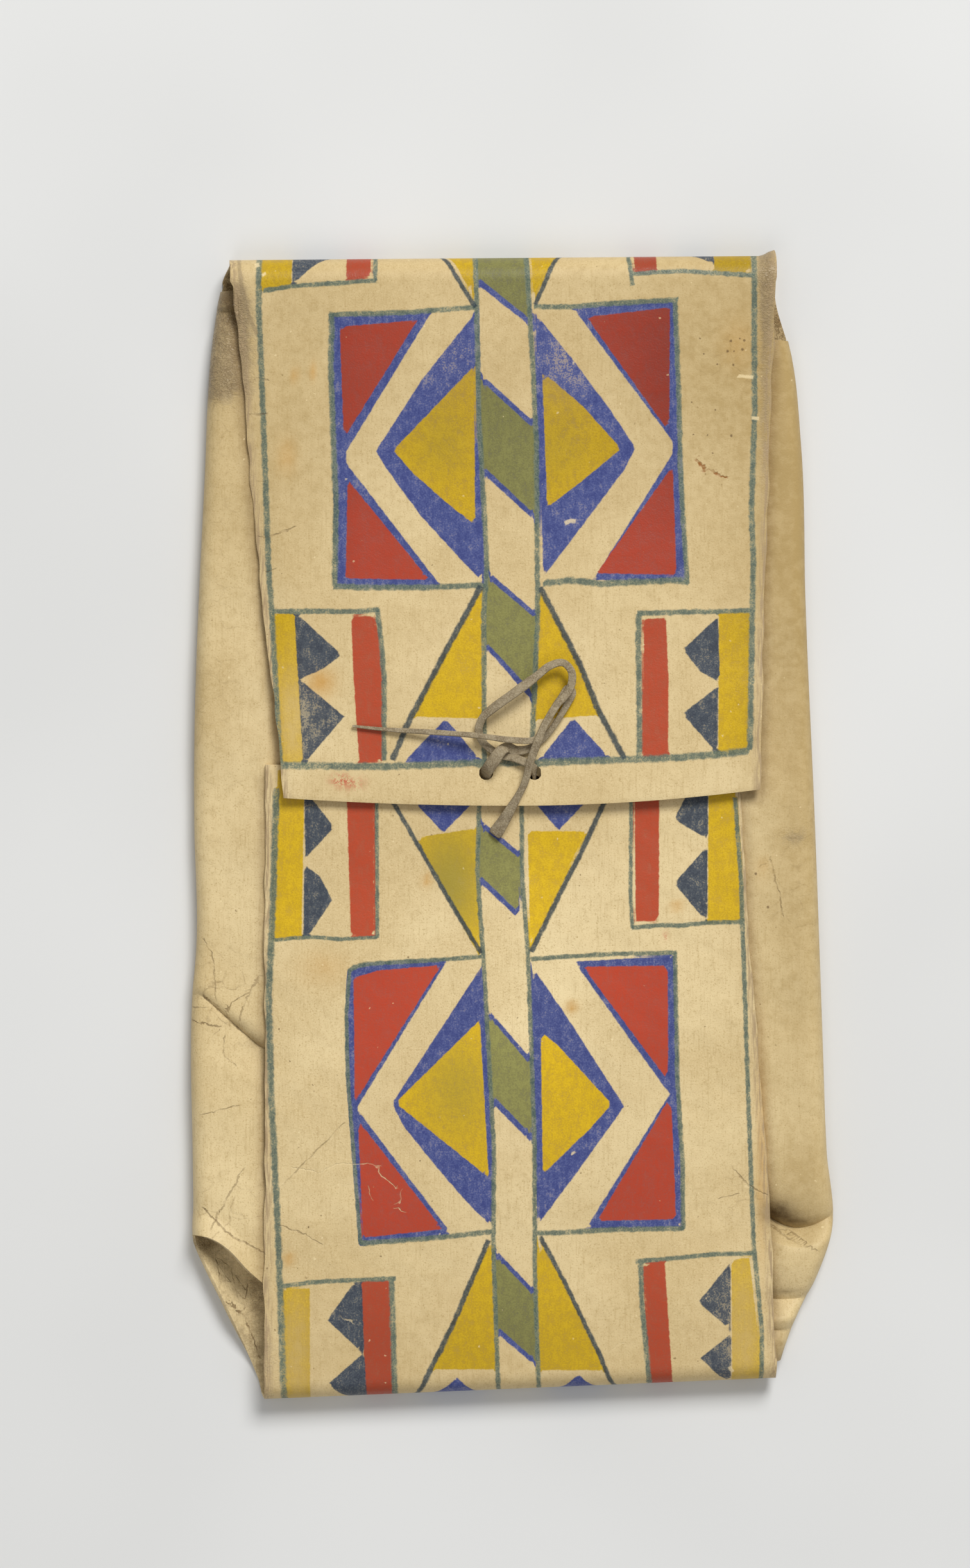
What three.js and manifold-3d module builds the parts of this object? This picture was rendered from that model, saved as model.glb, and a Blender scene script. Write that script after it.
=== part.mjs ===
// A rawhide parfleche envelope: one sheet of hide, cut to a cross-shaped blank, with its sides folded in over
// its back and its two painted ends folded over the sides, and a buckskin thong that ties the ends together.
// Millimetres. The envelope lies on its back: X runs across it, Y along it to the upper fold, Z up.

import * as THREE from 'three';
import { mergeVertices } from 'three/addons/utils/BufferGeometryUtils.js';
import Module from 'manifold-3d';

// Hide and the spaces between its layers
const hideThickness = 2.2;
const pocketDepth = 15; // clear space between the back and the side flaps
const layerGap = 1; // clear space between the side flaps and the lower flap
const flapGap = 3; // clear space between the lower and the upper flap, where they overlap

// Folds: places on the middle line, and how far each fold line climbs per millimetre to the right
const lowerFoldPlace = -326.6;
const upperFoldPlace = 330;
const lowerFoldSlant = 0.036;
const upperFoldSlant = 0.008;

// Widths, measured from the middle line: at the corners of the end folds, at the belly just above the lower
// corners, at the waist and at the shoulders
const lowerCornerLeft = 147;
const lowerCornerRight = 150.5;
const bellyHalfWidth = 186;
const waistLeft = 184.3;
const waistRight = 175.5;
const shoulderLeft = 178;
const shoulderRight = 167;
const upperCornerLeft = 163.5;
const upperCornerRight = 153.5;
const waistRise = 327; // height of the waist above the lower fold

// Outline of the back: place along the envelope, then distance from the middle line
const leftOutline = [
  [lowerFoldPlace, lowerCornerLeft],
  [lowerFoldPlace + 77, bellyHalfWidth - 6],
  [lowerFoldPlace + 95, bellyHalfWidth - 1.2],
  [lowerFoldPlace + 137, bellyHalfWidth - 0.1],
  [lowerFoldPlace + 207, bellyHalfWidth - 0.4],
  [lowerFoldPlace + waistRise, waistLeft],
  [upperFoldPlace - 130, shoulderLeft],
  [upperFoldPlace - 45, shoulderLeft - 5],
  [upperFoldPlace, upperCornerLeft],
];
const rightOutline = [
  [lowerFoldPlace, lowerCornerRight],
  [lowerFoldPlace + 77, bellyHalfWidth - 5.5],
  [lowerFoldPlace + 97, bellyHalfWidth - 0.1],
  [lowerFoldPlace + 137, bellyHalfWidth - 3],
  [lowerFoldPlace + 207, bellyHalfWidth - 6],
  [lowerFoldPlace + waistRise, waistRight],
  [upperFoldPlace - 200, shoulderRight + 2.5],
  [upperFoldPlace - 110, shoulderRight],
  [upperFoldPlace - 52, shoulderRight - 6],
  [upperFoldPlace - 26, upperCornerRight + 1],
  [upperFoldPlace, upperCornerRight],
];

// Side flaps: how far from the end folds each is cut free, and where its hidden inner edge lies
const leftFlapStart = 84.5;
const leftFlapStop = 9;
const rightFlapStart = 10;
const rightFlapStop = 36;
const flapInnerEdge = 30;
const cutFade = 6; // length over which the back widens again past the end of a side fold

// Free lower end of the left flap, which slants down under the lower flap: distance from the middle line, drop
const leftEndSlant = [
  [flapInnerEdge, 62],
  [90, 55],
  [142, 33],
  [176, 0],
];
const slantReach = 130; // length of the left flap over which the slant dies out

// Pinched creases across the side flaps: place, half the width, and depth
const bellyCrease = { place: lowerFoldPlace + 97, halfWidth: 12, depth: 8 };
const cornerCrease = { place: lowerFoldPlace + 55, halfWidth: 9, depth: 5 };
const leftDent = { place: lowerFoldPlace + 212, halfWidth: 16, depth: 3.5 };
const rightCreases = [bellyCrease, cornerCrease];
const leftCreases = [leftDent];
const creaseInner = 112; // distance from the middle line at which a crease starts
const creaseOuter = 150; // distance at which it is fully deep

// Painted flaps: the sides as place, then distance from the middle line, and the free ends
const lowerFlapEnd = 35;
const lowerFlapLeft = [
  [lowerFoldPlace, lowerCornerLeft],
  [lowerFoldPlace + 126, 143.5],
  [lowerFlapEnd, 143],
];
const lowerFlapRight = [
  [lowerFoldPlace, lowerCornerRight],
  [lowerFoldPlace + 116, 148.7],
  [lowerFlapEnd - 85, 136.5],
  [lowerFlapEnd, 131.5],
];
const lowerFlapCrown = 1.2; // rise of the lower flap halfway along it
const upperFlapEnd = 11.2;
const upperEndRiseLeft = 4.5; // how much shorter the flap is at its left and right corners
const upperEndRiseRight = 9.5;
const upperFlapLeft = [
  [upperFlapEnd, 133],
  [upperFlapEnd + 27, 134.5],
  [upperFlapEnd + 95, 142.5],
  [upperFlapEnd + 159, 149],
  [upperFoldPlace - 75, upperCornerLeft - 7.5],
  [upperFoldPlace, upperCornerLeft],
];
const upperFlapRight = [
  [upperFlapEnd, 144],
  [upperFlapEnd + 95, 146],
  [upperFoldPlace, upperCornerRight],
];
const upperFlapSag = 2.4; // dip of the upper flap halfway along it
const upperEndLift = 1.5; // lift of its free end
const liftReach = 45; // length over which the free end lifts

// Lacing holes, in pairs: distance apart, middle of a pair, distance from the flap's free end, and diameter
const holeSpacing = 28;
const holeMiddle = -1;
const upperHoleMargin = 19;
const lowerHoleMargin = 10;
const holeDiameter = 8.4;

// Thong, as a plain round cord
const thongDiameter = 3.4;
const thongRest = 0.6; // clear space under the tip of the short tail
const thongSides = 8;
const thongSteps = 84;

// Cells of the blank
const rowSpacing = 30;
const flapRows = 14;
const foldSteps = 6;
const middleColumns = 10;
const sideColumns = 5;
const columnEase = 1.6; // above 1, the side flaps' columns stand closer together near the fold
const holeSides = 16;
const cellCorners = 6; // each cell is two triangles
const mergeReach = 1e-4; // vertices closer than this are one

// Heights of the middle of the hide, layer by layer, and the fold radii that bring it there
const backHeight = hideThickness / 2;
const sideHeight = backHeight + pocketDepth + hideThickness;
const lowerHeight = sideHeight + layerGap + hideThickness;
const upperHeight = lowerHeight + flapGap + hideThickness;
const sideRadius = (sideHeight - backHeight) / 2;
const lowerRadius = (lowerHeight - backHeight) / 2;
const upperRadius = (upperHeight - backHeight) / 2;
const sideInset = sideRadius + hideThickness / 2;
const upperHolePlace = upperFlapEnd + upperHoleMargin;
const lowerHolePlace = lowerFlapEnd - lowerHoleMargin;

const { lerp, smoothstep, clamp } = THREE.MathUtils;

// A smooth curve through a few measured stations
function through(stations) {
  const places = stations.map(([place]) => place);
  const values = stations.map(([, value]) => value);
  const curve = new THREE.CubicInterpolant(places, values, 1, [0]);
  return (place) => curve.evaluate(place)[0];
}

const outline = { left: through(leftOutline), right: through(rightOutline) };
const lowerSides = { left: through(lowerFlapLeft), right: through(lowerFlapRight) };
const upperSides = { left: through(upperFlapLeft), right: through(upperFlapRight) };
const leftEndDrop = through(leftEndSlant);

// Middle of each end fold's bend, on the line at x
const lowerBend = (x) => lowerFoldPlace + lowerFoldSlant * x + hideThickness / 2 + lowerRadius;
const upperBend = (x) => upperFoldPlace + upperFoldSlant * x - hideThickness / 2 - upperRadius;

// Ends of the side folds
const leftFlapLow = lowerBend(-outline.left(lowerFoldPlace)) + leftFlapStart;
const leftFlapHigh = upperBend(-outline.left(upperFoldPlace)) - leftFlapStop;
const rightFlapLow = lowerBend(outline.right(lowerFoldPlace)) + rightFlapStart;
const rightFlapHigh = upperBend(outline.right(upperFoldPlace)) - rightFlapStop;

// Free end of the upper flap, rounded up towards its corners
function upperEnd(x) {
  const rise = x < 0 ? upperEndRiseLeft : upperEndRiseRight;
  const corner = x < 0 ? upperSides.left(upperFlapEnd) : upperSides.right(upperFlapEnd);
  return upperFlapEnd + rise * (x / corner) ** 2;
}

// Height of the middle of the hide on the painted flaps, at a place along them
function lowerFlapSurface(place) {
  const share = clamp((place - lowerFoldPlace) / (lowerFlapEnd - lowerFoldPlace), 0, 1);
  return lowerHeight + lowerFlapCrown * Math.sin(Math.PI * share) ** 2;
}
function upperFlapSurface(place) {
  const share = clamp((place - upperFlapEnd - liftReach) / (upperFoldPlace - upperFlapEnd - liftReach), 0, 1);
  const lift = upperEndLift * (1 - smoothstep(place, upperFlapEnd, upperFlapEnd + liftReach));
  return upperHeight - upperFlapSag * Math.sin(Math.PI * share) ** 2 + lift;
}

// Depth of the pinched creases at a place on a side flap
function creaseDepth(creases, distance, place) {
  const spread = smoothstep(distance, creaseInner, creaseOuter);
  const depths = creases.map(({ place: middle, halfWidth, depth }) => {
    return depth * Math.max(0, 1 - Math.abs(place - middle) / halfWidth);
  });
  return spread * Math.max(...depths);
}

// A list of places with every stretch between two breaks cut into even steps
function spread(breaks, spacing) {
  const places = [breaks[0]];
  for (let i = 1; i < breaks.length; i += 1) {
    const steps = Math.ceil(Math.abs(breaks[i] - breaks[i - 1]) / spacing);
    for (let step = 1; step <= steps; step += 1) {
      places.push(lerp(breaks[i - 1], breaks[i], step / steps));
    }
  }
  return places;
}

// Rows of the blank, from the free end of the upper flap round the back to the free end of the lower flap.
// A row gives its own left and right edge, and the point at x in the middle strip
function blankRows() {
  const rows = [];
  const edges = (sides, place) => ({ left: -sides.left(place), right: sides.right(place) });
  for (let step = 0; step < flapRows; step += 1) {
    const share = step / flapRows;
    const place = lerp(upperFlapEnd, upperBend(0), share);
    const point = (x) => {
      const y = lerp(upperEnd(x), upperBend(x), share);
      return new THREE.Vector3(x, y, upperFlapSurface(y));
    };
    rows.push({ ...edges(upperSides, place), point });
  }
  for (let step = 0; step < foldSteps; step += 1) {
    const turn = Math.PI * (1 - step / foldSteps);
    const point = (x) => {
      const y = upperBend(x) + upperRadius * Math.sin(turn);
      return new THREE.Vector3(x, y, backHeight + upperRadius * (1 - Math.cos(turn)));
    };
    rows.push({ ...edges(upperSides, upperFoldPlace), point });
  }
  rows.push(...backRows());
  for (let step = 1; step <= foldSteps; step += 1) {
    const turn = (Math.PI * step) / foldSteps;
    const point = (x) => {
      const y = lowerBend(x) - lowerRadius * Math.sin(turn);
      return new THREE.Vector3(x, y, backHeight + lowerRadius * (1 - Math.cos(turn)));
    };
    rows.push({ ...edges(lowerSides, lowerFoldPlace), point });
  }
  for (let step = 1; step <= flapRows; step += 1) {
    const share = step / flapRows;
    const place = lerp(lowerBend(0), lowerFlapEnd, share);
    const point = (x) => {
      const y = lerp(lowerBend(x), lowerFlapEnd, share);
      return new THREE.Vector3(x, y, lowerFlapSurface(y));
    };
    rows.push({ ...edges(lowerSides, place), point });
  }
  return rows;
}

// Rows of the flat back. Where a side flap starts from a row, the row stops at the side fold
function backRows() {
  const creaseBreaks = [...rightCreases, ...leftCreases].flatMap(({ place, halfWidth }) => {
    return [place + halfWidth, place, place - halfWidth];
  });
  const highCuts = [leftFlapHigh, rightFlapHigh].flatMap((place) => [place + cutFade, place]);
  const lowCuts = [leftFlapLow, rightFlapLow].flatMap((place) => [place, place - cutFade]);
  const first = upperBend(outline.right(upperFoldPlace));
  const last = lowerBend(-outline.left(lowerFoldPlace));
  const breaks = [...highCuts, ...lowCuts, ...creaseBreaks].filter((place) => place < first && place > last);
  breaks.sort((a, b) => b - a);
  const places = spread([first, ...breaks, last], rowSpacing);
  return places.map((place, index) => {
    const end = { [0]: upperBend, [places.length - 1]: lowerBend }[index];
    const y = end ?? (() => place);
    const past = (low, high) => Math.max(low - place, place - high, 0);
    const inset = (gap) => sideInset * (1 - smoothstep(gap, 0, cutFade));
    return {
      place,
      left: -outline.left(place) + inset(past(leftFlapLow, leftFlapHigh)),
      right: outline.right(place) - inset(past(rightFlapLow, rightFlapHigh)),
      point: (x) => new THREE.Vector3(x, y(x), backHeight),
    };
  });
}

// Columns of the blank, from the inner edge of the left flap across to the inner edge of the right flap.
// A column lies on a side flap (reach, 1 at its inner edge), in a side fold (turn) or in the middle (share)
function blankColumns() {
  const columns = [];
  for (let step = 0; step < sideColumns; step += 1) {
    columns.push({ side: 'left', turn: Math.PI, reach: 1 - step / sideColumns });
  }
  for (let step = 0; step < foldSteps; step += 1) {
    columns.push({ side: 'left', turn: Math.PI * (1 - step / foldSteps), reach: 0 });
  }
  for (let step = 0; step <= middleColumns; step += 1) {
    columns.push({ side: 'middle', share: step / middleColumns });
  }
  for (let step = 1; step <= foldSteps; step += 1) {
    columns.push({ side: 'right', turn: (Math.PI * step) / foldSteps, reach: 0 });
  }
  for (let step = 1; step <= sideColumns; step += 1) {
    columns.push({ side: 'right', turn: Math.PI, reach: step / sideColumns });
  }
  return columns;
}

// A point of a side flap or its fold
function sidePoint(row, { side, turn, reach }) {
  const sign = side === 'left' ? -1 : 1;
  const tangent = Math.abs(row[side]);
  const distance = lerp(tangent, flapInnerEdge, reach ** columnEase) + sideRadius * Math.sin(turn);
  const creases = side === 'left' ? leftCreases : rightCreases;
  const pinch = (creaseDepth(creases, distance, row.place) * (1 - Math.cos(turn))) / 2;
  const z = backHeight + sideRadius * (1 - Math.cos(turn)) - pinch;
  const slant = side === 'left' ? leftEndDrop(distance) : 0;
  const fade = 1 - smoothstep(row.place, leftFlapLow, leftFlapLow + slantReach);
  return new THREE.Vector3(sign * distance, row.place - slant * fade, z);
}

// True where a cell of the blank is hide, and not one of the corners cut away between the flaps
function isHide(above, below, column) {
  if (column.side === 'middle') return true;
  if (above.place === undefined || below.place === undefined) return false;
  const low = column.side === 'left' ? leftFlapLow : rightFlapLow;
  const high = column.side === 'left' ? leftFlapHigh : rightFlapHigh;
  return below.place >= low && above.place <= high;
}

// The folded blank as one sheet without thickness
function foldedBlank() {
  const rows = blankRows();
  const columns = blankColumns();
  const sheet = new THREE.PlaneGeometry(1, 1, columns.length - 1, rows.length - 1);
  const points = rows.flatMap((row) => {
    return columns.map((column) => {
      if (column.side === 'middle') return row.point(lerp(row.left, row.right, column.share));
      return row.place === undefined ? new THREE.Vector3() : sidePoint(row, column);
    });
  });
  sheet.setFromPoints(points);
  const kept = [];
  const cells = sheet.index.array;
  for (let row = 0; row < rows.length - 1; row += 1) {
    for (let column = 0; column < columns.length - 1; column += 1) {
      const [left, right] = [columns[column], columns[column + 1]];
      const outer = right.side === 'right' ? right : left;
      if (!isHide(rows[row], rows[row + 1], outer)) continue;
      const first = cellCorners * (row * (columns.length - 1) + column);
      kept.push(...cells.slice(first, first + cellCorners));
    }
  }
  sheet.setIndex(kept);
  sheet.deleteAttribute('uv');
  sheet.computeVertexNormals();
  return sheet;
}

// A sheet given its thickness: both faces, and a rim along every edge that only one triangle uses
function thickened(sheet, thickness) {
  const { position, normal } = sheet.attributes;
  const count = position.count;
  const points = [];
  for (const side of [1, -1]) {
    for (let i = 0; i < count; i += 1) {
      const offset = new THREE.Vector3().fromBufferAttribute(normal, i);
      const point = new THREE.Vector3().fromBufferAttribute(position, i);
      points.push(point.addScaledVector(offset, (side * thickness) / 2));
    }
  }
  const triangles = [];
  const openEdges = new Map();
  const faces = sheet.index.array;
  for (let i = 0; i < faces.length; i += 3) {
    const [a, b, c] = faces.slice(i, i + 3);
    triangles.push(a, b, c, c + count, b + count, a + count);
    for (const [from, to] of [[a, b], [b, c], [c, a]]) {
      if (!openEdges.delete(`${to} ${from}`)) openEdges.set(`${from} ${to}`, [from, to]);
    }
  }
  for (const [from, to] of openEdges.values()) {
    triangles.push(from + count, to + count, to, from + count, to, from);
  }
  const solid = new THREE.BufferGeometry().setFromPoints(points);
  solid.setIndex(triangles);
  return solid;
}

const wasm = await Module();
wasm.setup();

// A closed geometry as a solid that can be cut, and back again
function toSolid(geometry) {
  const bare = geometry.index ? geometry.toNonIndexed() : geometry.clone();
  bare.deleteAttribute('normal');
  bare.deleteAttribute('uv');
  const merged = mergeVertices(bare, mergeReach);
  const mesh = new wasm.Mesh({
    numProp: 3,
    vertProperties: new Float32Array(merged.attributes.position.array),
    triVerts: new Uint32Array(merged.index.array),
  });
  return new wasm.Manifold(mesh);
}
function toGeometry(solid) {
  const { vertProperties, triVerts } = solid.getMesh();
  const geometry = new THREE.BufferGeometry();
  geometry.setAttribute('position', new THREE.BufferAttribute(vertProperties, 3));
  geometry.setIndex(new THREE.BufferAttribute(triVerts, 1));
  geometry.computeVertexNormals();
  return geometry;
}

// The folded hide with its two pairs of lacing holes
function foldedHide() {
  let hide = toSolid(thickened(foldedBlank(), hideThickness));
  const depth = hideThickness + layerGap;
  const pairs = [
    [lowerHolePlace, lowerFlapSurface(lowerHolePlace)],
    [upperHolePlace, upperFlapSurface(upperHolePlace)],
  ];
  for (const [place, height] of pairs) {
    for (const side of [-1, 1]) {
      const hole = new THREE.CylinderGeometry(holeDiameter / 2, holeDiameter / 2, depth, holeSides);
      hole.rotateX(Math.PI / 2);
      hole.translate(holeMiddle + (side * holeSpacing) / 2, place, height);
      hide = hide.subtract(toSolid(hole));
    }
  }
  return toGeometry(hide);
}

// Route of the thong, from the long tail's tip through the knot and the lacing holes, round the loop and out
// to the short tail's tip: right of and above the middle of the upper holes, then height above the upper flap
function thongRoute() {
  const reach = holeSpacing / 2;
  const below = lowerHolePlace - upperHolePlace;
  const between = -hideThickness - flapGap / 2;
  const inLower = -flapGap - 1.5 * hideThickness;
  const under = inLower - hideThickness / 2 - thongDiameter;
  const lowerRest = -flapGap - hideThickness + thongDiameter / 2 + thongRest;
  const longTail = [
    [-91.3, 27.1, 2.1], [-72.7, 25.2, 2.6], [-42.9, 23.4, 5.5], [-18.7, 21.5, 8.8], [1.7, 18.9, 8],
  ];
  const tuck = [
    [13.6, 20, 6.5], [20.3, 29.7, 5.5], [25.6, 38.4, 4.5], [28.9, 44.2, 3.7], [33, 47.2, 3.2],
    [36.9, 44.6, 3], [36.2, 39.6, 3], [28, 27.8, 3], [19.3, 19.6, 2.6], [10.9, 14.1, 2.4], [3.4, 12.9, 2.7],
  ];
  const leftStrand = [[-1.4, 14.7, 4.2], [-5.2, 12.9, 7.2], [-9.6, 7, 7.3], [-13.2, 1.8, 4]];
  const lacing = [
    [-reach, 0, -hideThickness / 2],
    [-reach, below / 2, between],
    [-reach + 0.4, below, inLower],
    [-reach + 3.8, below - 0.4, under],
    [0, below - 0.5, under - 0.4],
    [reach - 3.8, below - 0.4, under],
    [reach - 0.4, below, inLower],
    [reach, below / 2, between],
    [reach, 0, -hideThickness / 2],
  ];
  const rightStrand = [
    [13.2, 3.2, 3.6], [7.3, 6.8, 4.2], [0.6, 9.2, 3.2], [-5.3, 10.3, 2.3], [-11.3, 13.7, 2.3],
    [-16.1, 18.2, 2.6], [-18.3, 24.1, 4],
  ];
  const loop = [
    [-16.1, 31.6, 6.5], [-10.2, 37.1, 8.5], [1.7, 45.7, 9.8], [14.8, 56.1, 9.3], [23.3, 62.8, 8],
    [31.5, 64.3, 7.5], [37.5, 59.1, 7.5], [37.8, 50.9, 8], [34.5, 43.5, 8.5], [27, 37.5, 9.5],
  ];
  const shortTail = [
    [20.3, 27.1, 11], [15.1, 16.7, 11], [11, 4.8, 8.5], [8.4, -5.6, 6], [2.9, -16.1, 4.4],
    [-3.5, -27.2, 0.6], [-9.4, -36.2, lowerRest],
  ];
  const top = upperHeight + hideThickness / 2;
  const stretches = [longTail, tuck, leftStrand, lacing, rightStrand, loop, shortTail];
  return stretches.flat().map(([right, above, rise]) => {
    return new THREE.Vector3(holeMiddle + right, upperHolePlace + above, top + rise);
  });
}

// The thong as a cord of many-sided section along its route
function thongCord() {
  const radius = thongDiameter / 2;
  const corners = new THREE.EllipseCurve(0, 0, radius, radius).getPoints(thongSides).slice(1);
  const section = new THREE.Shape(corners);
  const extrudePath = new THREE.CatmullRomCurve3(thongRoute());
  return new THREE.ExtrudeGeometry(section, { steps: thongSteps, bevelEnabled: false, extrudePath });
}

const rawhide = new THREE.MeshStandardMaterial({ color: 0xd6c496, roughness: 0.55, metalness: 0 });
const buckskin = new THREE.MeshStandardMaterial({ color: 0xa5978a, roughness: 0.9, metalness: 0 });

const hideMesh = new THREE.Mesh(foldedHide(), rawhide);
hideMesh.name = 'folded_hide';
const thongMesh = new THREE.Mesh(thongCord(), buckskin);
thongMesh.name = 'tie_thong';

const envelope = new THREE.Group();
envelope.name = 'parfleche_envelope';
envelope.add(hideMesh, thongMesh);

export default envelope;
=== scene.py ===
"""A rawhide parfleche envelope: one folded and painted hide, tied shut with a buckskin thong.

Metres. The envelope lies on its back: X runs across it, Y along it to the upper fold, Z up.
"""
import logging
import math
from dataclasses import dataclass
from enum import Enum
from typing import Optional, Sequence, Union

import bmesh
import bpy
import numpy as np
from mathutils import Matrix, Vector


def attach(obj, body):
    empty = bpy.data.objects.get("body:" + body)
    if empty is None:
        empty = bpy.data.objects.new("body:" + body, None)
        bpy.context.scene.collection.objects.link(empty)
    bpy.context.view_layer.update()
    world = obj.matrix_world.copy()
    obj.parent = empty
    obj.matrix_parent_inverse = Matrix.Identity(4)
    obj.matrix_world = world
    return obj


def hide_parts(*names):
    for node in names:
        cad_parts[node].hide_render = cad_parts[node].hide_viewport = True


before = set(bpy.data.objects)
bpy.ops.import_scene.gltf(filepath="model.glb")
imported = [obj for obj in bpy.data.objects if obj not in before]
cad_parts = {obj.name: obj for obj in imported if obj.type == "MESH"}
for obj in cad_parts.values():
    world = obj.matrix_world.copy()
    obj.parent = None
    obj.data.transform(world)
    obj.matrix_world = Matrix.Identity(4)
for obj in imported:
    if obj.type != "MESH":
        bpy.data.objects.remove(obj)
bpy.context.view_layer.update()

log = logging.getLogger("parfleche")

Array = np.ndarray
Rows = dict[str, Array]
Pair = tuple[float, float]
Pairs = tuple[Pair, ...]
Triple = tuple[float, float, float]
Colour = tuple[float, float, float, float]
Tree = bpy.types.NodeTree
Node = bpy.types.Node
Socket = bpy.types.NodeSocket
Entry = Union[float, tuple, Socket]
Material = bpy.types.Material
Piece = bpy.types.Object

BODY = "root"
MILLIMETRE = 0.001
FAR = 900.0  # millimetres: the distance written where there is no paint
OFF = 9.0  # metres: the place written where a point is on no painted flap
TINY = 1e-6
PAST = "_past"  # ending of the name under which the distance past a line's ends is stored


def colour(*parts: int) -> Colour:
    """A screen colour, red, green and blue from 0 to 255, as the linear colour that shaders take."""
    shares = [part / 255 for part in parts]
    return (*(s / 12.92 if s <= 0.04045 else ((s + 0.055) / 1.055) ** 2.4 for s in shares), 1.0)


def ease(value: Array, low: float, high: float) -> Array:
    """A smooth step from 0 at low to 1 at high."""
    share = np.clip((value - low) / (high - low), 0, 1)
    return share * share * (3 - 2 * share)


def through(stations: Pairs, places: Array) -> Array:
    """A smooth curve through a few measured stations.

    Args:
        stations: place and value of each station, in rising order of place.
        places: where to read the curve.

    Returns:
        The curve's value at each place.
    """
    knots, values = np.array(stations).T
    slopes = np.gradient(values, knots)
    spots = np.clip(places, knots[0], knots[-1])
    index = np.clip(np.searchsorted(knots, spots) - 1, 0, len(knots) - 2)
    width = knots[index + 1] - knots[index]
    t = (spots - knots[index]) / width
    start = (1 + 2 * t) * (1 - t) ** 2 * values[index] + t * (1 - t) ** 2 * width * slopes[index]
    stop = t**2 * (3 - 2 * t) * values[index + 1] + t**2 * (t - 1) * width * slopes[index + 1]
    return start + stop


def ripple(across: Array, along: Array, longest: float, seed: int) -> Array:
    """An uneven, rolling surface of a few plane waves, about from -1 to 1.

    Args:
        across: places across the envelope.
        along: places along it.
        longest: the longest wave.
        seed: which set of waves.

    Returns:
        The height at each place.
    """
    waves, shortest = 7, 0.4
    dice = np.random.default_rng(seed)
    height = np.zeros_like(across)
    for _ in range(waves):
        heading = dice.uniform(0, math.pi)
        phase = dice.uniform(0, 2 * math.pi)
        length = longest * dice.uniform(shortest, 1.0)
        run = across * math.cos(heading) + along * math.sin(heading)
        height += np.sin(2 * math.pi * run / length + phase) / math.sqrt(waves)
    return height


def placed(name: str, data: bpy.types.ID) -> Piece:
    """Puts new data into the scene.

    Args:
        name: the new object's name.
        data: its mesh, camera or lamp.

    Returns:
        The new object.
    """
    piece = bpy.data.objects.new(name, data)
    bpy.context.collection.objects.link(piece)
    return piece


def meshed(name: str, form: bmesh.types.BMesh) -> Piece:
    """Puts a finished form into the scene, with smooth faces.

    Args:
        name: the new object's name.
        form: its faces, which are freed.

    Returns:
        The new object.
    """
    for face in form.faces:
        face.smooth = True
    mesh = bpy.data.meshes.new(name)
    form.to_mesh(mesh)
    form.free()
    return placed(name, mesh)


class Pigment(Enum):
    """Pigments laid on as fields, in the order in which they cover each other."""

    BLUE = "blue"
    YELLOW = "yellow"
    RED = "red"
    OLIVE = "olive"
    INDIGO = "indigo"


class Mark(Enum):
    """Kinds of line on the hide."""

    UPRIGHT = "upright"
    LEVEL = "level"
    SLANTED = "slanted"
    BEND = "bend"
    SCAR = "scar"
    CHIP = "chip"
    SCRATCH = "scratch"
    HAIR = "hair"
    CRACK = "crack"


class Blot(Enum):
    """Kinds of soft-edged patch on the hide: stain, painted shade, and broad shifts towards tan."""

    SOIL = "soil"
    RUST = "rust"
    SMUDGE = "smudge"
    CRAZE = "craze"
    AGE = "age"
    MOSS = "moss"
    THIN = "thin"
    GRIME = "grime"
    DIRT = "dirt"


class Wear(Enum):
    """What else is stored on the hide: the distance from a flap's long edge, and painted shade with some
    soiling beside it.
    """

    MARGIN = "margin"
    SHELTER = "shelter"


@dataclass(frozen=True)
class Ruler:
    """Turns a place read off the photograph, 1512 by 2444 pixels, into metres on the envelope."""

    pixel: float = 0.000372
    middle_column: float = 798.0
    zero_row: float = 1286.0

    def places(self, pixels: Sequence[Pair]) -> Array:
        """Across and along, in metres, of pixels given by their columns and rows."""
        spots = np.array(pixels, dtype=float) - (self.middle_column, self.zero_row)
        return spots * (self.pixel, -self.pixel)


@dataclass(frozen=True)
class Field:
    """A convex field of one pigment, by its corners on the hide laid flat, in pixels."""

    corners: Pairs

    def distance(self, spots: Array, ruler: Ruler) -> Array:
        """Distance outside the field's edge, below zero inside it.

        Args:
            spots: across and along of each place.
            ruler: the ruler its corners were read with.

        Returns:
            The distance at each place, in metres.
        """
        corners = ruler.places(self.corners)
        following = np.roll(corners, -1, axis=0)
        turning = np.sum(corners[:, 0] * following[:, 1] - following[:, 0] * corners[:, 1])
        sides = (following - corners) * math.copysign(1, turning)
        sides /= np.linalg.norm(sides, axis=1, keepdims=True)
        outward = np.column_stack((sides[:, 1], -sides[:, 0]))
        return np.max(spots @ outward.T - np.sum(corners * outward, axis=1), axis=1)


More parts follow.
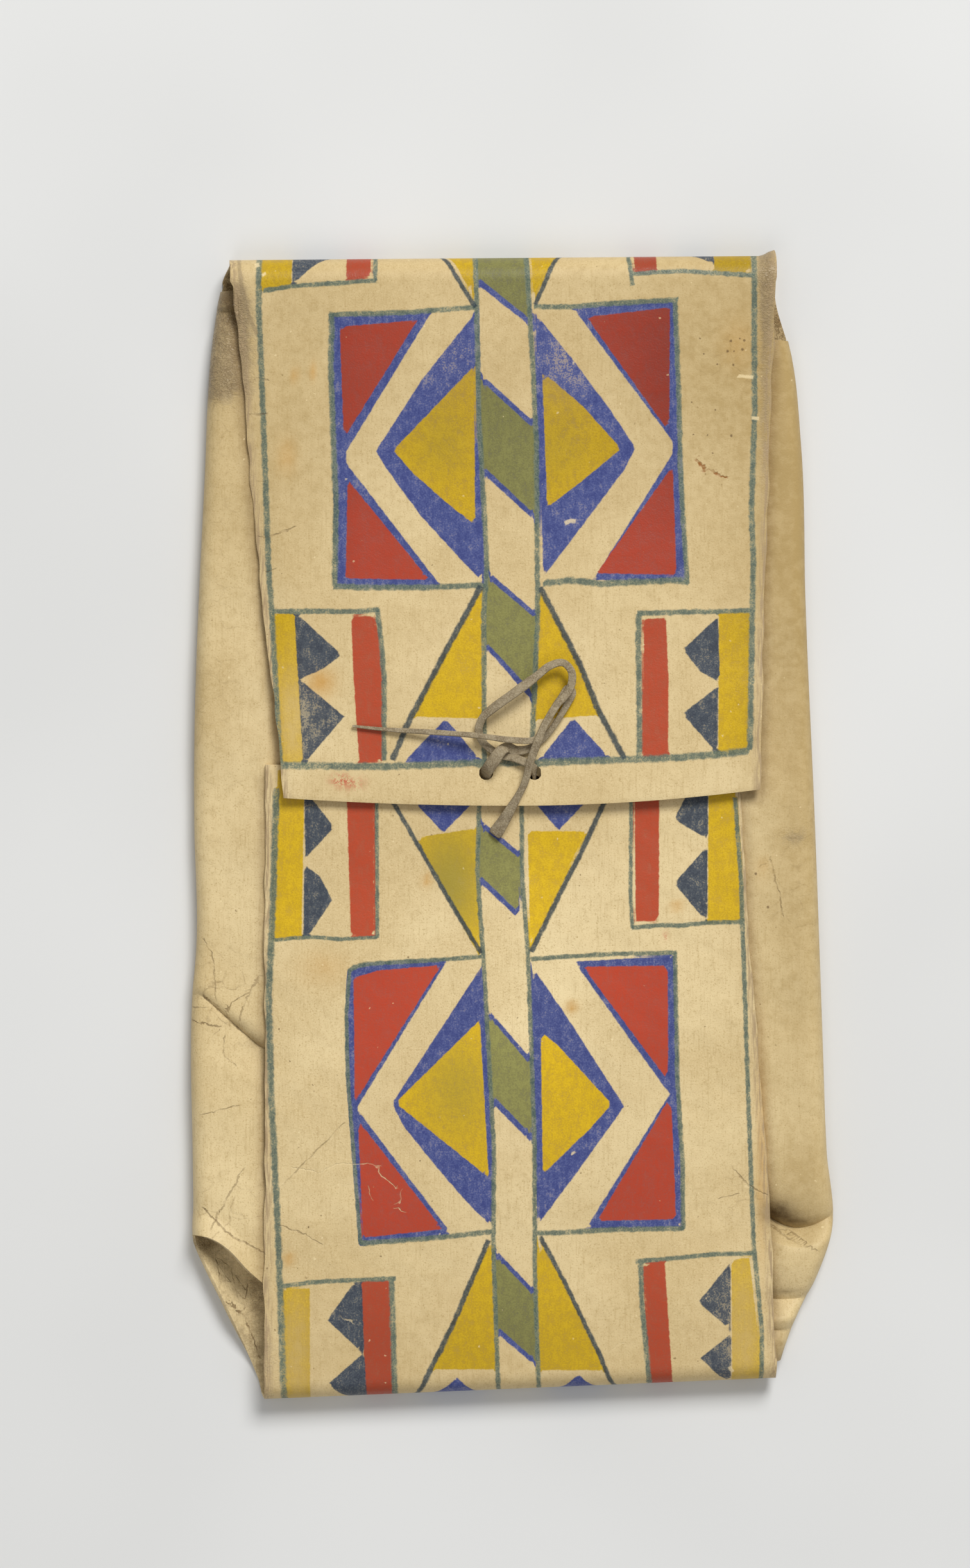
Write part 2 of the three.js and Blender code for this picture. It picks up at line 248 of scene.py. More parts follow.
@dataclass(frozen=True)
class Line:
    """A line drawn, cracked or scratched on the hide: its width and points, in pixels."""

    width: float
    points: Pairs

    def reach(self, spots: Array, ruler: Ruler) -> tuple[Array, Array, Array]:
        """Where each place lies from the line.

        Args:
            spots: across and along of each place.
            ruler: the ruler its points were read with.

        Returns:
            The distance to the line, the distance across it with its side as sign, and the distance past
            its ends, all in metres.
        """
        points = ruler.places(self.points)
        nearest = np.full(len(spots), np.inf)
        across, past = np.zeros((2, len(spots)))
        last = len(points) - 2
        for index, (start, stop) in enumerate(zip(points[:-1], points[1:])):
            length = np.linalg.norm(stop - start)
            heading = (stop - start) / length
            offset = spots - start
            run = offset @ heading
            side = offset[:, 0] * heading[1] - offset[:, 1] * heading[0]
            distance = np.hypot(side, np.maximum(np.maximum(-run, run - length), 0))
            over = np.full(len(spots), -FAR * MILLIMETRE)
            if index == 0:
                over = np.maximum(over, -run)
            if index == last:
                over = np.maximum(over, run - length)
            closer = distance < nearest
            nearest = np.where(closer, distance, nearest)
            across = np.where(closer, side, across)
            past = np.where(closer, over, past)
        return nearest, across, past


@dataclass(frozen=True)
class Patch:
    """A soft-edged patch of colour: column and row of its middle, its half sizes, all in pixels, and its
    strength.
    """

    column: float
    row: float
    half_width: float
    half_height: float
    strength: float

    def weight(self, spots: Array, ruler: Ruler) -> Array:
        """Strength of the patch at each place, fading to 0 away from its middle."""
        offset = (spots - ruler.places([(self.column, self.row)])[0]) / (self.half_width, self.half_height)
        return self.strength * np.exp(-np.sum((offset / ruler.pixel) ** 2, axis=1))


FieldTable = dict[Pigment, dict[str, Pairs]]
LineTable = dict[Mark, dict[str, tuple[float, Pairs]]]

# The pattern and the wear, read off the photograph in pixels: corners of fields, width and points of lines
UPPER_FIELDS: FieldTable = {
    Pigment.YELLOW: {
        "left block at the fold": ((408, 230), (455, 230), (455, 447), (408, 453)),
        "right block at the fold": ((1113, 226), (1168, 226), (1168, 424), (1113, 425)),
        "left hourglass at the fold": ((738, 285), (640, 285), (738, 465)),
        "right hourglass at the fold": ((822, 285), (915, 285), (831, 468)),
        "left heart": ((739, 571), (613, 702), (644, 738), (699, 786), (741, 819)),
        "right heart": ((845, 580), (909, 634), (969, 701), (923, 737), (853, 795)),
        "left hourglass at the end": ((753, 920), (753, 1120), (643, 1117)),
        "right hourglass at the end": ((841, 921), (903, 1040), (935, 1115), (832, 1122)),
        "left block at the end": ((427, 959), (461, 959), (474, 1186), (439, 1186)),
        "right block at the end": ((1120, 957), (1166, 955), (1163, 1170), (1119, 1175)),
    },
    Pigment.RED: {
        "left bar at the fold": ((540, 230), (577, 230), (578, 433), (540, 436)),
        "right bar at the fold": ((984, 226), (1024, 226), (1023, 424), (989, 424)),
        "upper left corner": ((530, 510), (651, 500), (536, 684)),
        "lower left corner": ((542, 748), (669, 904), (539, 902)),
        "upper right corner": ((914, 495), (1044, 480), (1043, 674)),
        "lower right corner": ((1049, 725), (1054, 896), (930, 894)),
        "left bar at the end": (
            (545, 960), (582, 961), (590, 1000), (595, 1045), (595, 1186), (556, 1187), (551, 1050),
        ),
        "right bar at the end": ((1003, 965), (1038, 963), (1042, 1061), (1041, 1178), (1003, 1178)),
    },
    Pigment.OLIVE: {
        "stripe at the fold": ((742, 330), (816, 270), (825, 497), (747, 435)),
        "stripe in the middle": ((750, 594), (832, 669), (834, 803), (755, 728)),
        "stripe at the end": ((760, 901), (835, 965), (834, 1083), (760, 1003)),
    },
    Pigment.BLUE: {
        "stripe at the fold, its edge": ((742, 330), (816, 270), (826, 509), (746, 446)),
        "stripe in the middle, its edge": ((749, 583), (833, 659), (835, 814), (754, 739)),
        "stripe at the end, its edge": ((760, 890), (836, 956), (834, 1098), (760, 1013)),
        "left half diamond": (
            (744, 485), (658, 592), (586, 703), (602, 730), (655, 803), (717, 871), (753, 908),
        ),
        "right half diamond": (
            (834, 489), (894, 563), (951, 639), (990, 698), (974, 731), (914, 811), (847, 900),
        ),
        "frame of the upper left corner": ((520, 497), (672, 489), (537, 708)),
        "frame down the left": ((518, 496), (531, 496), (542, 780), (541, 905), (528, 905), (523, 780)),
        "frame of the lower left corner": ((532, 712), (683, 908), (683, 914), (528, 914)),
        "frame of the upper right corner": ((893, 481), (1051, 474), (1058, 694), (1053, 694)),
        "frame down the right": (
            (1044, 476), (1051, 474), (1058, 660), (1063, 800), (1067, 896), (1052, 896),
        ),
        "frame of the lower right corner": ((1053, 700), (1060, 700), (1066, 904), (926, 902)),
        "left peak at the end": ((631, 1186), (695, 1120), (749, 1186)),
        "right peak at the end": ((842, 1184), (893, 1119), (949, 1181)),
        "left peak on the back": ((625, 215), (690, 280), (745, 215)),
        "right peak on the back": ((828, 215), (880, 280), (945, 215)),
    },
    Pigment.INDIGO: {
        "left tooth at the fold": ((456, 446), (545, 362), (456, 290)),
        "left tooth on the back": ((456, 284), (535, 252), (456, 222)),
        "right tooth at the fold": ((1113, 414), (1045, 362), (1113, 300)),
        "right tooth on the back": ((1113, 294), (1050, 255), (1113, 228)),
        "left tooth at the end": ((459, 953), (533, 1021), (505, 1042), (465, 1060)),
        "left end tooth": ((465, 1057), (537, 1117), (473, 1192)),
        "right tooth at the end": ((1119, 961), (1064, 1013), (1092, 1048), (1122, 1064)),
        "right end tooth": ((1119, 1070), (1063, 1113), (1118, 1175)),
    },
}
LOWER_FIELDS: FieldTable = {
    Pigment.YELLOW: {
        "left block at the end": ((433, 1200), (475, 1200), (470, 1461), (425, 1464)),
        "right block at the end": ((1105, 1205), (1144, 1205), (1154, 1340), (1157, 1435), (1103, 1438)),
        "left hourglass at the end": ((651, 1305), (742, 1291), (746, 1484)),
        "right hourglass at the end": ((823, 1295), (914, 1296), (826, 1476)),
        "left heart": ((748, 1590), (616, 1719), (762, 1836)),
        "right heart": ((843, 1608), (868, 1628), (954, 1721), (921, 1758), (846, 1830)),
        "left hourglass at the fold": ((766, 1938), (776, 2135), (673, 2135)),
        "right hourglass at the fold": ((838, 1934), (880, 2006), (943, 2136), (838, 2136)),
        "left block at the fold": ((442, 2010), (483, 2008), (483, 2230), (443, 2232)),
        "right block at the fold": ((1140, 1964), (1168, 1960), (1184, 2097), (1185, 2200), (1142, 2204)),
    },
    Pigment.RED: {
        "left bar at the end": ((539, 1200), (582, 1200), (583, 1458), (547, 1458)),
        "right bar at the end": ((989, 1205), (1028, 1205), (1027, 1436), (991, 1436)),
        "upper left corner": ((551, 1524), (588, 1513), (688, 1504), (553, 1718)),
        "lower left corner": ((558, 1746), (690, 1916), (566, 1929)),
        "upper right corner": ((909, 1507), (1036, 1505), (1041, 1514), (1041, 1684)),
        "lower right corner": ((1040, 1717), (1047, 1728), (1054, 1901), (931, 1903)),
        "left bar at the fold": ((562, 1999), (605, 1998), (613, 2228), (572, 2230)),
        "right bar at the fold": ((1004, 1972), (1036, 1967), (1052, 2205), (1018, 2207)),
    },
    Pigment.OLIVE: {
        "stripe at the end": ((748, 1288), (809, 1337), (809, 1423), (748, 1364)),
        "stripe in the middle": ((763, 1585), (826, 1660), (827, 1768), (768, 1707)),
        "stripe at the fold": ((772, 1957), (835, 2024), (836, 2122), (776, 2068)),
    },
    Pigment.BLUE: {
        "stripe at the end, its edge": ((748, 1277), (810, 1329), (810, 1434), (748, 1376)),
        "stripe in the middle, its edge": ((762, 1574), (827, 1650), (828, 1781), (767, 1719)),
        "stripe at the fold, its edge": ((771, 1946), (835, 2014), (837, 2131), (776, 2080)),
        "left half diamond": (
            (749, 1509), (611, 1720), (630, 1757), (686, 1826), (727, 1873), (764, 1910), (767, 1830),
            (755, 1595),
        ),
        "right half diamond": ((829, 1500), (883, 1584), (978, 1721), (906, 1818), (840, 1910)),
        "frame of the upper left corner": ((544, 1514), (574, 1503), (697, 1497), (556, 1727), (546, 1700)),
        "frame down the left": (
            (543, 1513), (551, 1520), (558, 1740), (567, 1930), (562, 1938), (547, 1745), (542, 1679),
            (541, 1590),
        ),
        "frame of the lower left corner": ((553, 1731), (558, 1731), (700, 1918), (697, 1925), (562, 1938)),
        "frame of the upper right corner": ((895, 1499), (1048, 1490), (1050, 1706), (1044, 1706)),
        "frame down the right": (
            (1041, 1505), (1050, 1500), (1055, 1690), (1061, 1905), (1053, 1905), (1045, 1690),
        ),
        "frame of the lower right corner": ((1043, 1706), (1052, 1706), (1062, 1910), (915, 1913)),
        "left peak at the end": ((642, 1246), (742, 1246), (691, 1298)),
        "right peak at the end": ((829, 1246), (918, 1245), (871, 1294)),
        "left peak at the fold": ((640, 2215), (713, 2146), (775, 2215)),
        "right peak at the fold": ((840, 2210), (901, 2141), (965, 2208)),
    },
    Pigment.INDIGO: {
        "left tooth at the end": ((474, 1230), (521, 1289), (476, 1338)),
        "left second tooth": ((474, 1346), (499, 1367), (518, 1403), (480, 1460), (473, 1460)),
        "right tooth at the end": ((1104, 1195), (1070, 1240), (1051, 1277), (1104, 1309)),
        "right second tooth": ((1103, 1318), (1051, 1377), (1089, 1423), (1103, 1434)),
        "left tooth at the fold": ((564, 2001), (551, 2001), (510, 2058), (568, 2112)),
        "left fold tooth": ((568, 2108), (512, 2157), (573, 2216)),
        "right tooth at the fold": ((1139, 1968), (1088, 2030), (1139, 2073)),
        "right fold tooth": ((1140, 2079), (1092, 2117), (1124, 2148), (1140, 2162)),
    },
}
UPPER_LINES: LineTable = {
    Mark.UPRIGHT: {
        "left border": (9, ((403, 214), (404, 480), (411, 658), (419, 889), (424, 955), (437, 1190))),
        "right border": (9, (
            (1176, 214), (1175, 523), (1176, 640), (1171, 800), (1174, 870), (1168, 1170),
        )),
        "left of the stripe": (8, (
            (742, 214), (741, 404), (747, 658), (759, 880), (754, 955), (755, 1190),
        )),
        "right of the stripe": (8, (
            (819, 214), (820, 401), (831, 580), (836, 690), (838, 960), (828, 1188),
        )),
        "left block at the fold": (7, ((585, 214), (585, 438))),
        "right block at the fold": (7, ((979, 214), (980, 401), (986, 446))),
        "left of the panel": (9, ((517, 490), (516, 560), (520, 700), (524, 780), (522, 914))),
        "right of the panel": (8, ((1052, 469), (1059, 650), (1060, 714), (1063, 780), (1071, 911))),
        "left block at the end": (8, ((588, 949), (596, 1014), (599, 1061), (599, 1186))),
        "right block at the end": (9, ((996, 955), (994, 999), (996, 1061), (996, 1182))),
    },
    Mark.LEVEL: {
        "end border": (11, (
            (437, 1193), (599, 1195), (749, 1189), (838, 1189), (1061, 1181), (1168, 1171),
        )),
        "foot of the left block": (7, ((411, 454), (463, 446), (519, 443), (588, 438))),
        "foot of the right block": (7, ((984, 429), (1023, 426), (1066, 424), (1094, 426), (1177, 431))),
        "top of the left panel": (8, ((513, 491), (560, 490), (630, 488), (690, 484), (742, 480))),
        "top of the right panel": (8, ((832, 479), (894, 479), (951, 474), (1057, 468))),
        "foot of the left panel": (9, ((520, 914), (567, 916), (661, 916), (757, 912))),
        "foot of the right panel": (10, ((846, 910), (886, 905), (936, 910), (1046, 905), (1074, 907))),
        "top of the left end block": (8, ((425, 953), (505, 953), (555, 954), (591, 950))),
        "top of the right end block": (8, ((993, 956), (1046, 955), (1170, 952))),
        "border on the back": (8, ((403, 216), (1178, 214))),
    },
    Mark.SLANTED: {
        "left hourglass at the end": (9, ((750, 914), (692, 1021), (636, 1127), (612, 1185))),
        "right hourglass at the end": (9, ((842, 916), (905, 1039), (930, 1102), (973, 1183))),
        "left hourglass at the fold": (7, ((741, 480), (708, 427), (640, 300), (600, 218))),
        "right hourglass at the fold": (7, ((834, 476), (850, 440), (870, 394), (955, 218))),
    },
}
LOWER_LINES: LineTable = {
    Mark.UPRIGHT: {
        "left border": (10, ((431, 1228), (424, 1442), (419, 1550), (423, 1707), (434, 1940), (444, 2236))),
        "right border": (7, (
            (1146, 1243), (1155, 1367), (1166, 1700), (1175, 1940), (1188, 2080), (1187, 2212),
        )),
        "left of the stripe": (7, (
            (747, 1240), (744, 1359), (754, 1500), (770, 1790), (769, 1950), (779, 2230),
        )),
        "right of the stripe": (7, (
            (813, 1240), (814, 1367), (823, 1490), (833, 1775), (834, 1990), (842, 2228),
        )),
        "left block at the end": (6, ((587, 1240), (588, 1464))),
        "right block at the end": (6, ((984, 1240), (983, 1396), (986, 1447))),
        "left of the panel": (6, ((545, 1512), (540, 1580), (542, 1679), (562, 1939))),
        "right of the panel": (7, ((1052, 1485), (1056, 1687), (1064, 1819), (1065, 1918))),
        "left block at the fold": (9, ((610, 1993), (612, 2059), (617, 2232))),
        "right block at the fold": (8, ((999, 1967), (1000, 2023), (1012, 2152), (1016, 2212))),
    },
    Mark.LEVEL: {
        "foot of the left block": (6, ((426, 1466), (463, 1462), (491, 1461), (533, 1464), (589, 1461))),
        "foot of the right block": (7, (
            (985, 1446), (1030, 1442), (1059, 1443), (1103, 1438), (1157, 1437),
        )),
        "top of the left panel": (7, ((542, 1515), (552, 1507), (574, 1502), (686, 1496), (752, 1491))),
        "top of the right panel": (7, ((827, 1495), (883, 1491), (956, 1487), (1055, 1485))),
        "foot of the left panel": (8, ((561, 1938), (686, 1929), (766, 1920))),
        "foot of the right panel": (8, ((836, 1922), (874, 1922), (942, 1917), (1066, 1915))),
        "top of the left fold block": (7, ((438, 2006), (486, 1999), (536, 1996), (617, 1993))),
        "top of the right fold block": (7, ((991, 1967), (1045, 1962), (1118, 1955), (1177, 1954))),
        "border on the back": (7, ((444, 2236), (1187, 2212))),
    },
    Mark.SLANTED: {
        "left hourglass at the end": (7, ((608, 1242), (644, 1304), (699, 1401), (750, 1486))),
        "right hourglass at the end": (8, ((947, 1240), (906, 1329), (877, 1385), (828, 1484))),
        "left hourglass at the fold": (8, ((762, 1932), (705, 2067), (662, 2153), (635, 2212))),
        "right hourglass at the fold": (7, ((842, 1928), (880, 1999), (933, 2108), (975, 2208))),
    },
}
WORN_LINES: LineTable = {
    Mark.HAIR: {
        "nick over the left border": (2.2, ((388, 595), (401, 592), (418, 591))),
        "second nick": (2.4, ((389, 647), (416, 646))),
        "third nick": (2.0, ((401, 751), (412, 750))),
        "crease from the left border": (2.0, ((403, 837), (422, 836), (443, 828), (460, 822))),
        "fifth nick": (2.0, ((415, 890), (430, 888))),
        "crease in the lower left": (1.3, ((536, 1751), (486, 1801), (440, 1848))),
        "crease above the left block": (1.6, ((435, 1910), (475, 1924), (501, 1940))),
        "crease at the right border": (1.8, ((1140, 1819), (1165, 1847), (1196, 1863))),
        "second split from the left fold": (1.8, ((301, 1571), (322, 1572))),
        "split down the left side": (1.8, ((318, 1465), (331, 1494), (334, 1529), (336, 1560))),
        "split from the flap": (2.2, ((409, 1522), (398, 1528), (386, 1551), (376, 1575), (374, 1590))),
        "hairline on the left side": (1.6, ((349, 1616), (346, 1648), (366, 1662))),
        "hairline in the belly": (1.6, ((313, 1740), (343, 1730), (371, 1725))),
        "crease up from the free edge": (1.8, ((380, 1822), (356, 1863), (336, 1900), (327, 1918))),
        "crease on the ledge": (1.6, ((1204, 1917), (1232, 1936), (1264, 1951))),
        "second crease on the ledge": (1.4, ((1206, 1907), (1240, 1928), (1274, 1950))),
        "scratch on the right side": (1.8, ((1201, 1333), (1209, 1373), (1220, 1408), (1221, 1435))),
    },
    Mark.SCAR: {
        "scar in the upper right": (3.0, ((1090, 720), (1108, 732), (1133, 745))),
        "head of it": (8.0, ((1086, 716), (1101, 731))),
    },
    Mark.SCRATCH: {
        # Painted highlight: a pale line along a crease in the lower left
        "painted highlight on the crease in the lower left": (1.6, (
            (456, 1820), (500, 1828), (521, 1815), (577, 1814), (592, 1817),
        )),
        "scratch in the red": (1.3, ((588, 1823), (593, 1832), (608, 1842), (620, 1854))),
        "branch of it": (1.2, ((627, 1854), (624, 1866), (625, 1873), (620, 1884))),
        "foot of it": (1.3, ((615, 1884), (632, 1889))),
        "scratch beside it": (1.0, ((574, 1850), (576, 1862), (581, 1870))),
        "scratch in the tooth": (2.4, ((529, 2053), (552, 2062))),
        "scratch near the fold": (2.4, ((956, 2102), (971, 2093))),
    },
    Mark.CRACK: {
        "branch of the right crease": (1.2, ((1121, 1869), (1151, 1861))),
        "split across the left side": (2.6, ((317, 1552), (345, 1578), (378, 1609))),
        "split from the left fold": (2.2, ((300, 1591), (320, 1599), (342, 1601))),
        "branch of the flap's split": (1.6, ((388, 1546), (362, 1561), (354, 1580))),
        "split above the free edge": (2.0, (
            (317, 1884), (340, 1911), (364, 1930), (390, 1943), (411, 1956),
        )),
        "split beside the free edge": (1.6, ((333, 1967), (337, 1985), (339, 2003))),
        "branch inside the corner": (1.6, ((350, 2034), (362, 2046), (378, 2060))),
        "split down the corner": (1.6, ((377, 2062), (392, 2094), (402, 2124))),
        "second branch inside the corner": (1.3, ((382, 2008), (379, 2030), (377, 2050))),
        "split inside the corner": (1.4, ((357, 1980), (360, 2003), (370, 2043), (380, 2063))),
        "nick on the right side": (2.2, ((1184, 1352), (1193, 1346))),
    },
    Mark.BEND: {
        "bend beside the upper left border": (6.0, ((371, 402), (378, 455), (388, 490), (401, 521))),
    },
    Mark.CHIP: {
        "chip on the right border": (5, ((1149, 586), (1174, 588))),
        "chip below it": (5, ((1171, 651), (1184, 652))),
        "chip in the left corner": (7, ((400, 412), (402, 419))),
        "second chip there": (6, ((411, 427), (413, 432))),
        "bare patch in the blue": (6, ((880, 816), (888, 812), (897, 813))),
        "chip in the lower blue": (4, ((890, 1799), (899, 1794))),
        "second chip in the lower blue": (4, ((931, 1759), (936, 1755))),
        "chip at the right crease": (4, ((1160, 1850), (1168, 1849))),
        "chip in the right tooth": (5, ((1137, 2130), (1143, 2138))),
    },
}
PITS = (
    (1140, 531, 6), (1154, 527, 4), (1158, 544, 6), (1145, 547, 4), (1119, 567, 4), (1092, 527, 4),
    (1079, 626, 3.5), (1116, 638, 4), (656, 1808, 4), (595, 1957, 4), (482, 1912, 4), (436, 1603, 4),
    (453, 1653, 3.5), (1180, 1361, 6), (1199, 1413, 6), (1161, 530, 5), (1135, 547, 6), (1144, 568, 5),
    (1141, 678, 6), (1104, 677, 4), (1098, 551, 4), (1112, 705, 4), (1082, 676, 4),
)
PATCHES = {
    Blot.SOIL: (
        Patch(332, 545, 60, 60, 1.1), Patch(336, 604, 44, 18, 0.8), Patch(352, 480, 34, 36, 0.9),
        Patch(377, 480, 9, 70, 0.36), Patch(381, 610, 6, 70, 0.3), Patch(390, 740, 5, 90, 0.26),
        Patch(1196, 430, 16, 90, 0.9), Patch(1192, 600, 10, 160, 0.5), Patch(392, 2120, 40, 60, 0.6),
        Patch(1240, 1303, 26, 15, 0.55),
    ),
    # Painted shade: darker in the right side's creases, in the left dent and in the hollow at the upper left
    Blot.DIRT: (
        Patch(1214, 1890, 26, 17, 1.1), Patch(1246, 1906, 30, 10, 0.75), Patch(1225, 2014, 26, 5, 0.5),
        Patch(396, 1622, 14, 16, 0.38), Patch(372, 1596, 22, 8, 0.28), Patch(362, 478, 12, 22, 0.62),
        Patch(356, 460, 14, 9, 0.45),
    ),
    # Broad shifts towards tan: darker over the upper flap, the side strips and the lower fold, lighter in the
    # middle of the lower flap
    Blot.AGE: (
        Patch(798, 1286, 6000, 6000, 0.3), Patch(800, 1540, 190, 150, -0.34),
        Patch(470, 1650, 140, 200, -0.12), Patch(798, 560, 480, 260, 0.22),
        Patch(1120, 560, 150, 270, 0.45), Patch(450, 660, 110, 290, 0.3), Patch(1245, 880, 80, 420, 0.7),
        Patch(1250, 1500, 60, 300, 0.4), Patch(1250, 1850, 60, 90, 0.4), Patch(330, 1000, 60, 300, 0.15),
        Patch(700, 2120, 500, 130, 0.25),
    ),
    Blot.RUST: (
        Patch(1150, 535, 26, 36, 0.3), Patch(447, 712, 14, 26, 0.5), Patch(460, 585, 5, 12, 0.7),
        Patch(488, 580, 5, 14, 0.7), Patch(500, 1064, 22, 24, 0.9), Patch(428, 1110, 5, 70, 0.5),
        Patch(666, 1372, 7, 9, 0.9), Patch(1055, 1412, 10, 8, 0.8), Patch(891, 1570, 9, 9, 1.0),
        Patch(505, 1510, 40, 26, 0.35), Patch(450, 1963, 8, 9, 0.8), Patch(1188, 1800, 8, 160, 0.6),
        Patch(1190, 1360, 10, 10, 0.6),
    ),
    Blot.SMUDGE: (
        Patch(530, 1216, 14, 9, 1.0), Patch(552, 1222, 16, 10, 0.7), Patch(1037, 1459, 4, 6, 0.9),
    ),
    Blot.CRAZE: (
        Patch(345, 1560, 60, 70, 1.0), Patch(350, 1900, 60, 60, 0.9), Patch(335, 560, 60, 110, 0.7),
        Patch(330, 1000, 60, 400, 0.35), Patch(1160, 1860, 50, 50, 0.5), Patch(1150, 560, 60, 70, 0.4),
        Patch(1240, 1360, 50, 160, 0.4),
    ),
    Blot.MOSS: (
        Patch(700, 1380, 60, 100, 0.9), Patch(715, 1690, 60, 80, 0.5), Patch(690, 690, 50, 60, 0.3),
        Patch(870, 700, 50, 60, 0.25),
    ),
    Blot.THIN: (
        Patch(455, 1120, 25, 90, 1.0), Patch(463, 2130, 25, 120, 1.1), Patch(1160, 2090, 30, 120, 1.0),
        Patch(880, 560, 50, 60, 0.6), Patch(490, 1125, 35, 50, 0.4), Patch(1115, 2060, 40, 80, 0.3),
        Patch(700, 560, 40, 60, 0.4),
    ),
    # Brown soiling, partly painted shade: under the left free edge, inside the lower left corner and in the
    # hollows at the upper corners
    Blot.GRIME: (
        Patch(400, 2010, 26, 45, 0.4), Patch(400, 2110, 34, 60, 0.3), Patch(318, 1945, 24, 14, 0.6),
        Patch(355, 440, 24, 34, 0.9), Patch(1215, 500, 16, 44, 0.9),
    ),
}


class Wiring:
    """Adds nodes to one shader tree and links them."""

    def __init__(self, tree: Tree) -> None:
        """Keeps the tree that the nodes go into."""
        self.tree = tree

    def add(self, kind: str, entries: Optional[dict] = None, **settings: object) -> Node:
        """Adds one node.

        Args:
            kind: the node's class name.
            entries: constants or sockets by input name or index.
            settings: the node's own properties.

        Returns:
            The new node.
        """
        node = self.tree.nodes.new(kind)
        for name, value in settings.items():
            setattr(node, name, value)
        self.enter(node, entries or {})
        return node

    def enter(self, node: Node, entries: dict) -> None:
        """Gives inputs of a node a link or a constant.

        Args:
            node: the node.
            entries: constants or sockets by input name or index.
        """
        for name, value in entries.items():
            if isinstance(value, Socket):
                self.tree.links.new(value, node.inputs[name])
            else:
                node.inputs[name].default_value = value

    def maths(self, operation: str, first: Entry, second: Entry = 0.0, clamp: bool = False) -> Socket:
        """The result of one sum, held between 0 and 1 where it is clamped."""
        entries = {0: first, 1: second}
        return self.add("ShaderNodeMath", entries, operation=operation, use_clamp=clamp).outputs[0]

    def plus(self, first: Entry, second: Entry) -> Socket:
        """One value and another."""
        return self.maths("ADD", first, second)

    def less(self, first: Entry, second: Entry) -> Socket:
        """One value less another."""
        return self.maths("SUBTRACT", first, second)

    def times(self, first: Entry, second: Entry, clamp: bool = False) -> Socket:
        """One value times another."""
        return self.maths("MULTIPLY", first, second, clamp)

    def step(self, value: Entry, low: Entry, high: Entry, start: Entry = 0.0, stop: Entry = 1.0) -> Socket:
        """A smooth step of a value, from start where it is low to stop where it is high."""
        entries = {"Value": value, "From Min": low, "From Max": high, "To Min": start, "To Max": stop}
        return self.add("ShaderNodeMapRange", entries, interpolation_type="SMOOTHSTEP").outputs[0]

    def mix(self, share: Entry, first: Entry, second: Entry, blend: str = "MIX") -> Socket:
        """A share of the second colour over the first."""
        entries = {0: share, 6: first, 7: second}
        return self.add("ShaderNodeMix", entries, data_type="RGBA", blend_type=blend).outputs[2]

    def noise(self, vector: Socket, scale: float, detail: float = 2.0, rough: float = 0.5) -> Socket:
        """Noise, about 0.5 on average, with so many features in a metre and so many finer layers."""
        entries = {"Vector": vector, "Scale": scale, "Detail": detail, "Roughness": rough}
        return self.add("ShaderNodeTexNoise", entries).outputs[0]

    def stretched(self, vector: Socket, scale: Triple) -> Socket:
        """Coordinates with a scale of their own along each axis."""
        return self.add("ShaderNodeMapping", {"Vector": vector, "Scale": scale}).outputs[0]

    def shifted(self, vector: Socket, scale: float, amount: float) -> Socket:
        """Coordinates pushed about by noise.

        Args:
            vector: coordinates.
            scale: features of the noise in a metre.
            amount: how far they are pushed at most.

        Returns:
            The pushed coordinates.
        """
        cloud = self.add("ShaderNodeTexNoise", {"Vector": vector, "Scale": scale, "Detail": 3.0})
        entries = {0: cloud.outputs["Color"], 1: (amount,) * 3}
        push = self.add("ShaderNodeVectorMath", entries, operation="MULTIPLY").outputs[0]
        return self.add("ShaderNodeVectorMath", {0: vector, 1: push}, operation="ADD").outputs[0]

    def value(self, label: Enum, ending: str = "") -> Socket:
        """A value stored on the mesh under a label."""
        return self.add("ShaderNodeAttribute", attribute_name=label.value + ending).outputs["Fac"]

    def place(self) -> Socket:
        """The object's own coordinates."""
        return self.add("ShaderNodeTexCoord").outputs["Object"]

    def group(self, tree: Tree, entries: dict) -> dict[str, Socket]:
        """Places a shader group and gives its outputs by name."""
        outputs = self.add("ShaderNodeGroup", entries, node_tree=tree).outputs
        return {socket.name: socket for socket in outputs}

    def bump(self, height: Socket, distance: float, strength: float) -> Socket:
        """The normal of a surface with a relief."""
        entries = {"Height": height, "Distance": distance, "Strength": strength}
        return self.add("ShaderNodeBump", entries).outputs[0]


class Effect(Wiring):
    """The wiring of a new shader group."""

    def __init__(self, name: str, entries: Sequence[str], results: Sequence[str]) -> None:
        """Makes the group.

        Args:
            name: its name.
            entries: names of its inputs, all values but Vector.
            results: names of its outputs, all values.
        """
        super().__init__(bpy.data.node_groups.new(name, "ShaderNodeTree"))
        sockets = self.tree.interface
        for label in entries:
            kind = "NodeSocketVector" if label == "Vector" else "NodeSocketFloat"
            sockets.new_socket(label, in_out="INPUT", socket_type=kind)
        for label in results:
            sockets.new_socket(label, in_out="OUTPUT", socket_type="NodeSocketFloat")
        self.inside = self.add("NodeGroupInput").outputs

    def finished(self, results: dict[str, Socket]) -> Tree:
        """Links the outputs and gives the group."""
        self.add("NodeGroupOutput", results)
        return self.tree


